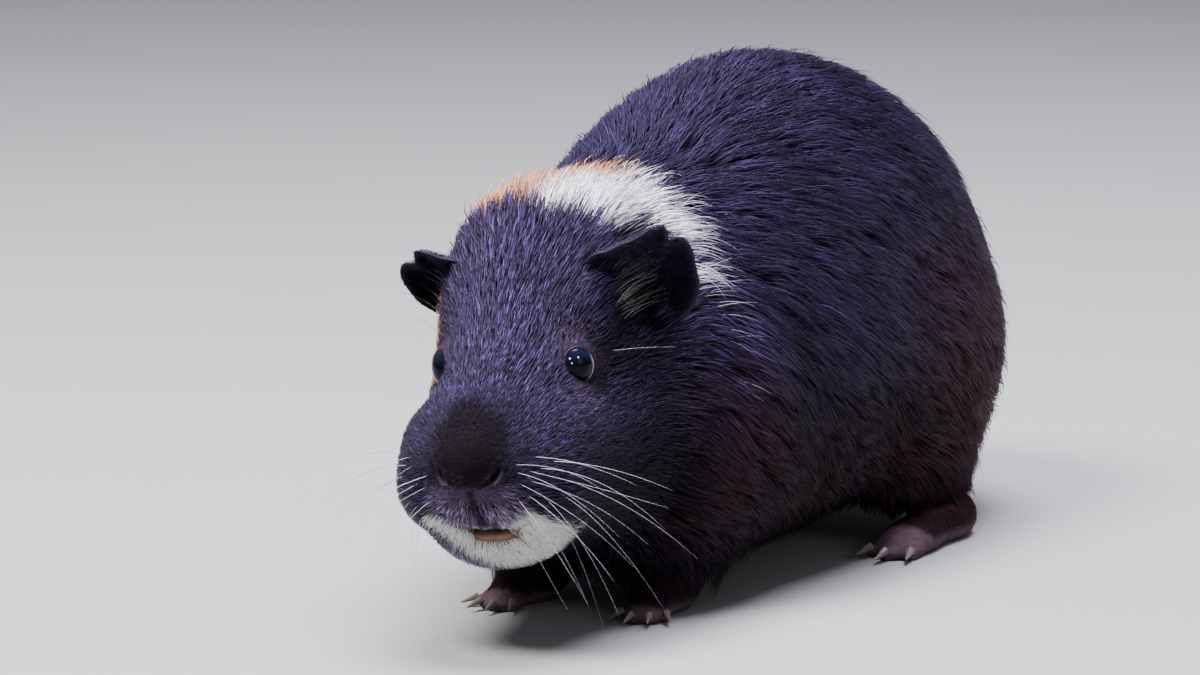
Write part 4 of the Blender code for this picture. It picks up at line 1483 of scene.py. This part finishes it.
def make_light(name, place, target, size, power, colour, only=None):
    """A soft lamp. With only, it shows just as a glint on the pieces of that collection."""
    data = bpy.data.lights.new(name, "AREA")
    data.shape = "ELLIPSE"
    data.size, data.size_y = size
    data.energy = power
    data.color = colour
    light = put(name, data, place, Vector(target) - Vector(place))
    if only:
        light.light_linking.receiver_collection = only
        light.visible_diffuse = False
    light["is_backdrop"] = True


# Each lamp's name, its place, target and size in metres, its power in watts and its colour.
LAMPS = (
    ("key", (-0.30, -0.65, 1.05), (0, -0.04, 0.05), (0.5, 0.4), 38, (1, 0.98, 0.98)),
    ("sky", (0.05, 0.10, 1.3), (0, 0, 0.04), (0.9, 0.9), 63, (0.87, 0.86, 1)),
    ("side", (1.1, -0.35, 0.45), (0.02, 0, 0.05), (0.5, 0.6), 1.9, (1, 0.95, 0.92)),
)
# Small lamps that only show as points of light in the eyes: place and size in metres.
GLINTS = (((0.33, -0.98, 0.78), 0.13), ((0.86, -0.36, 0.80), 0.10), ((0.50, -0.95, 0.30), 0.08))
GLINT_TARGET = (0.015, -0.085, 0.055)
# Watts on a square metre of a glint's lamp.
GLINT_POWER = 2200
# Half the floor's side in metres.
FLOOR_HALF = 6.0


def make_stage(eyes):
    """The floor, the pale sky round it and the lamps."""
    mesh = bpy.data.meshes.new("floor")
    corners = ((-1, -1), (1, -1), (1, 1), (-1, 1))
    mesh.from_pydata([(x * FLOOR_HALF, y * FLOOR_HALF, 0) for x, y in corners], [], [(0, 1, 2, 3)])
    mesh.materials.append(floor_material())
    floor = link("floor", mesh)
    floor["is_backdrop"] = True
    world = bpy.data.worlds.new("studio")
    world.use_nodes = True
    background = world.node_tree.nodes["Background"]
    background.inputs["Color"].default_value = (0.80, 0.86, 1.0, 1)
    background.inputs["Strength"].default_value = 0.27
    bpy.context.scene.world = world
    for lamp in LAMPS:
        make_light(*lamp)
    only = bpy.data.collections.new("eyes")
    for eye in eyes:
        only.objects.link(eye)
    for number, (place, size) in enumerate(GLINTS):
        power = GLINT_POWER * size * size
        make_light(f"glint_{number}", place, GLINT_TARGET, (size, size), power, (1, 1, 1), only)


# ---------------------------------------------------------------- build

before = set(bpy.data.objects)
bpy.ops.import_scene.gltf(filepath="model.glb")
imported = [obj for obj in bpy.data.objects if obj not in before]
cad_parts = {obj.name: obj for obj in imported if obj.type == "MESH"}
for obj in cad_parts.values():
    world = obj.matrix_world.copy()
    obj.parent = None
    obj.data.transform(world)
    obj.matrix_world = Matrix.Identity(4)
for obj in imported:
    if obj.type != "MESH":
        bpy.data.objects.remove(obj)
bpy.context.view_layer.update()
HEAD = Head()


def main():
    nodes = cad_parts
    lid_look = lid_material()
    skin_mesh, ear = make_skin(nodes)
    points = points_of(skin_mesh)
    local = HEAD.local(points)
    coat, coat_look = make_coat(skin_mesh, ear)
    set_colour(skin_mesh, skin_colour(points, local, ear))
    skin_mesh.materials.clear()
    skin_mesh.materials.append(skin_material())
    skin = link("skin", skin_mesh)
    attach(skin, "root")
    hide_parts(*FLESH, "ear_left", "ear_right")
    make_whiskers(coat, coat_look)
    make_wisps(coat, coat_look)
    make_ear_hairs(coat, coat_look)
    make_brow_hairs(coat, coat_look)
    eye_look = eye_material()
    eyes = []
    for name, side in SIDES:
        low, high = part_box("eye_" + name)
        centre = (np.array(low) + np.array(high)) / 2 / MM
        gaze = HEAD.turned(gaze_of(side)[None])[0]
        ball = globe("eyeball_" + name, centre, gaze, eye_look)
        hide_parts("eye_" + name)
        eyes.append(ball)
        lid_ring("lids_" + name, centre, side, lid_look)
    horn = horn_material()
    for name, node in nodes.items():
        if "claw" in name:
            node.data.materials.clear()
            node.data.materials.append(horn)
    make_camera()
    make_stage(eyes)
    low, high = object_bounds()


main()
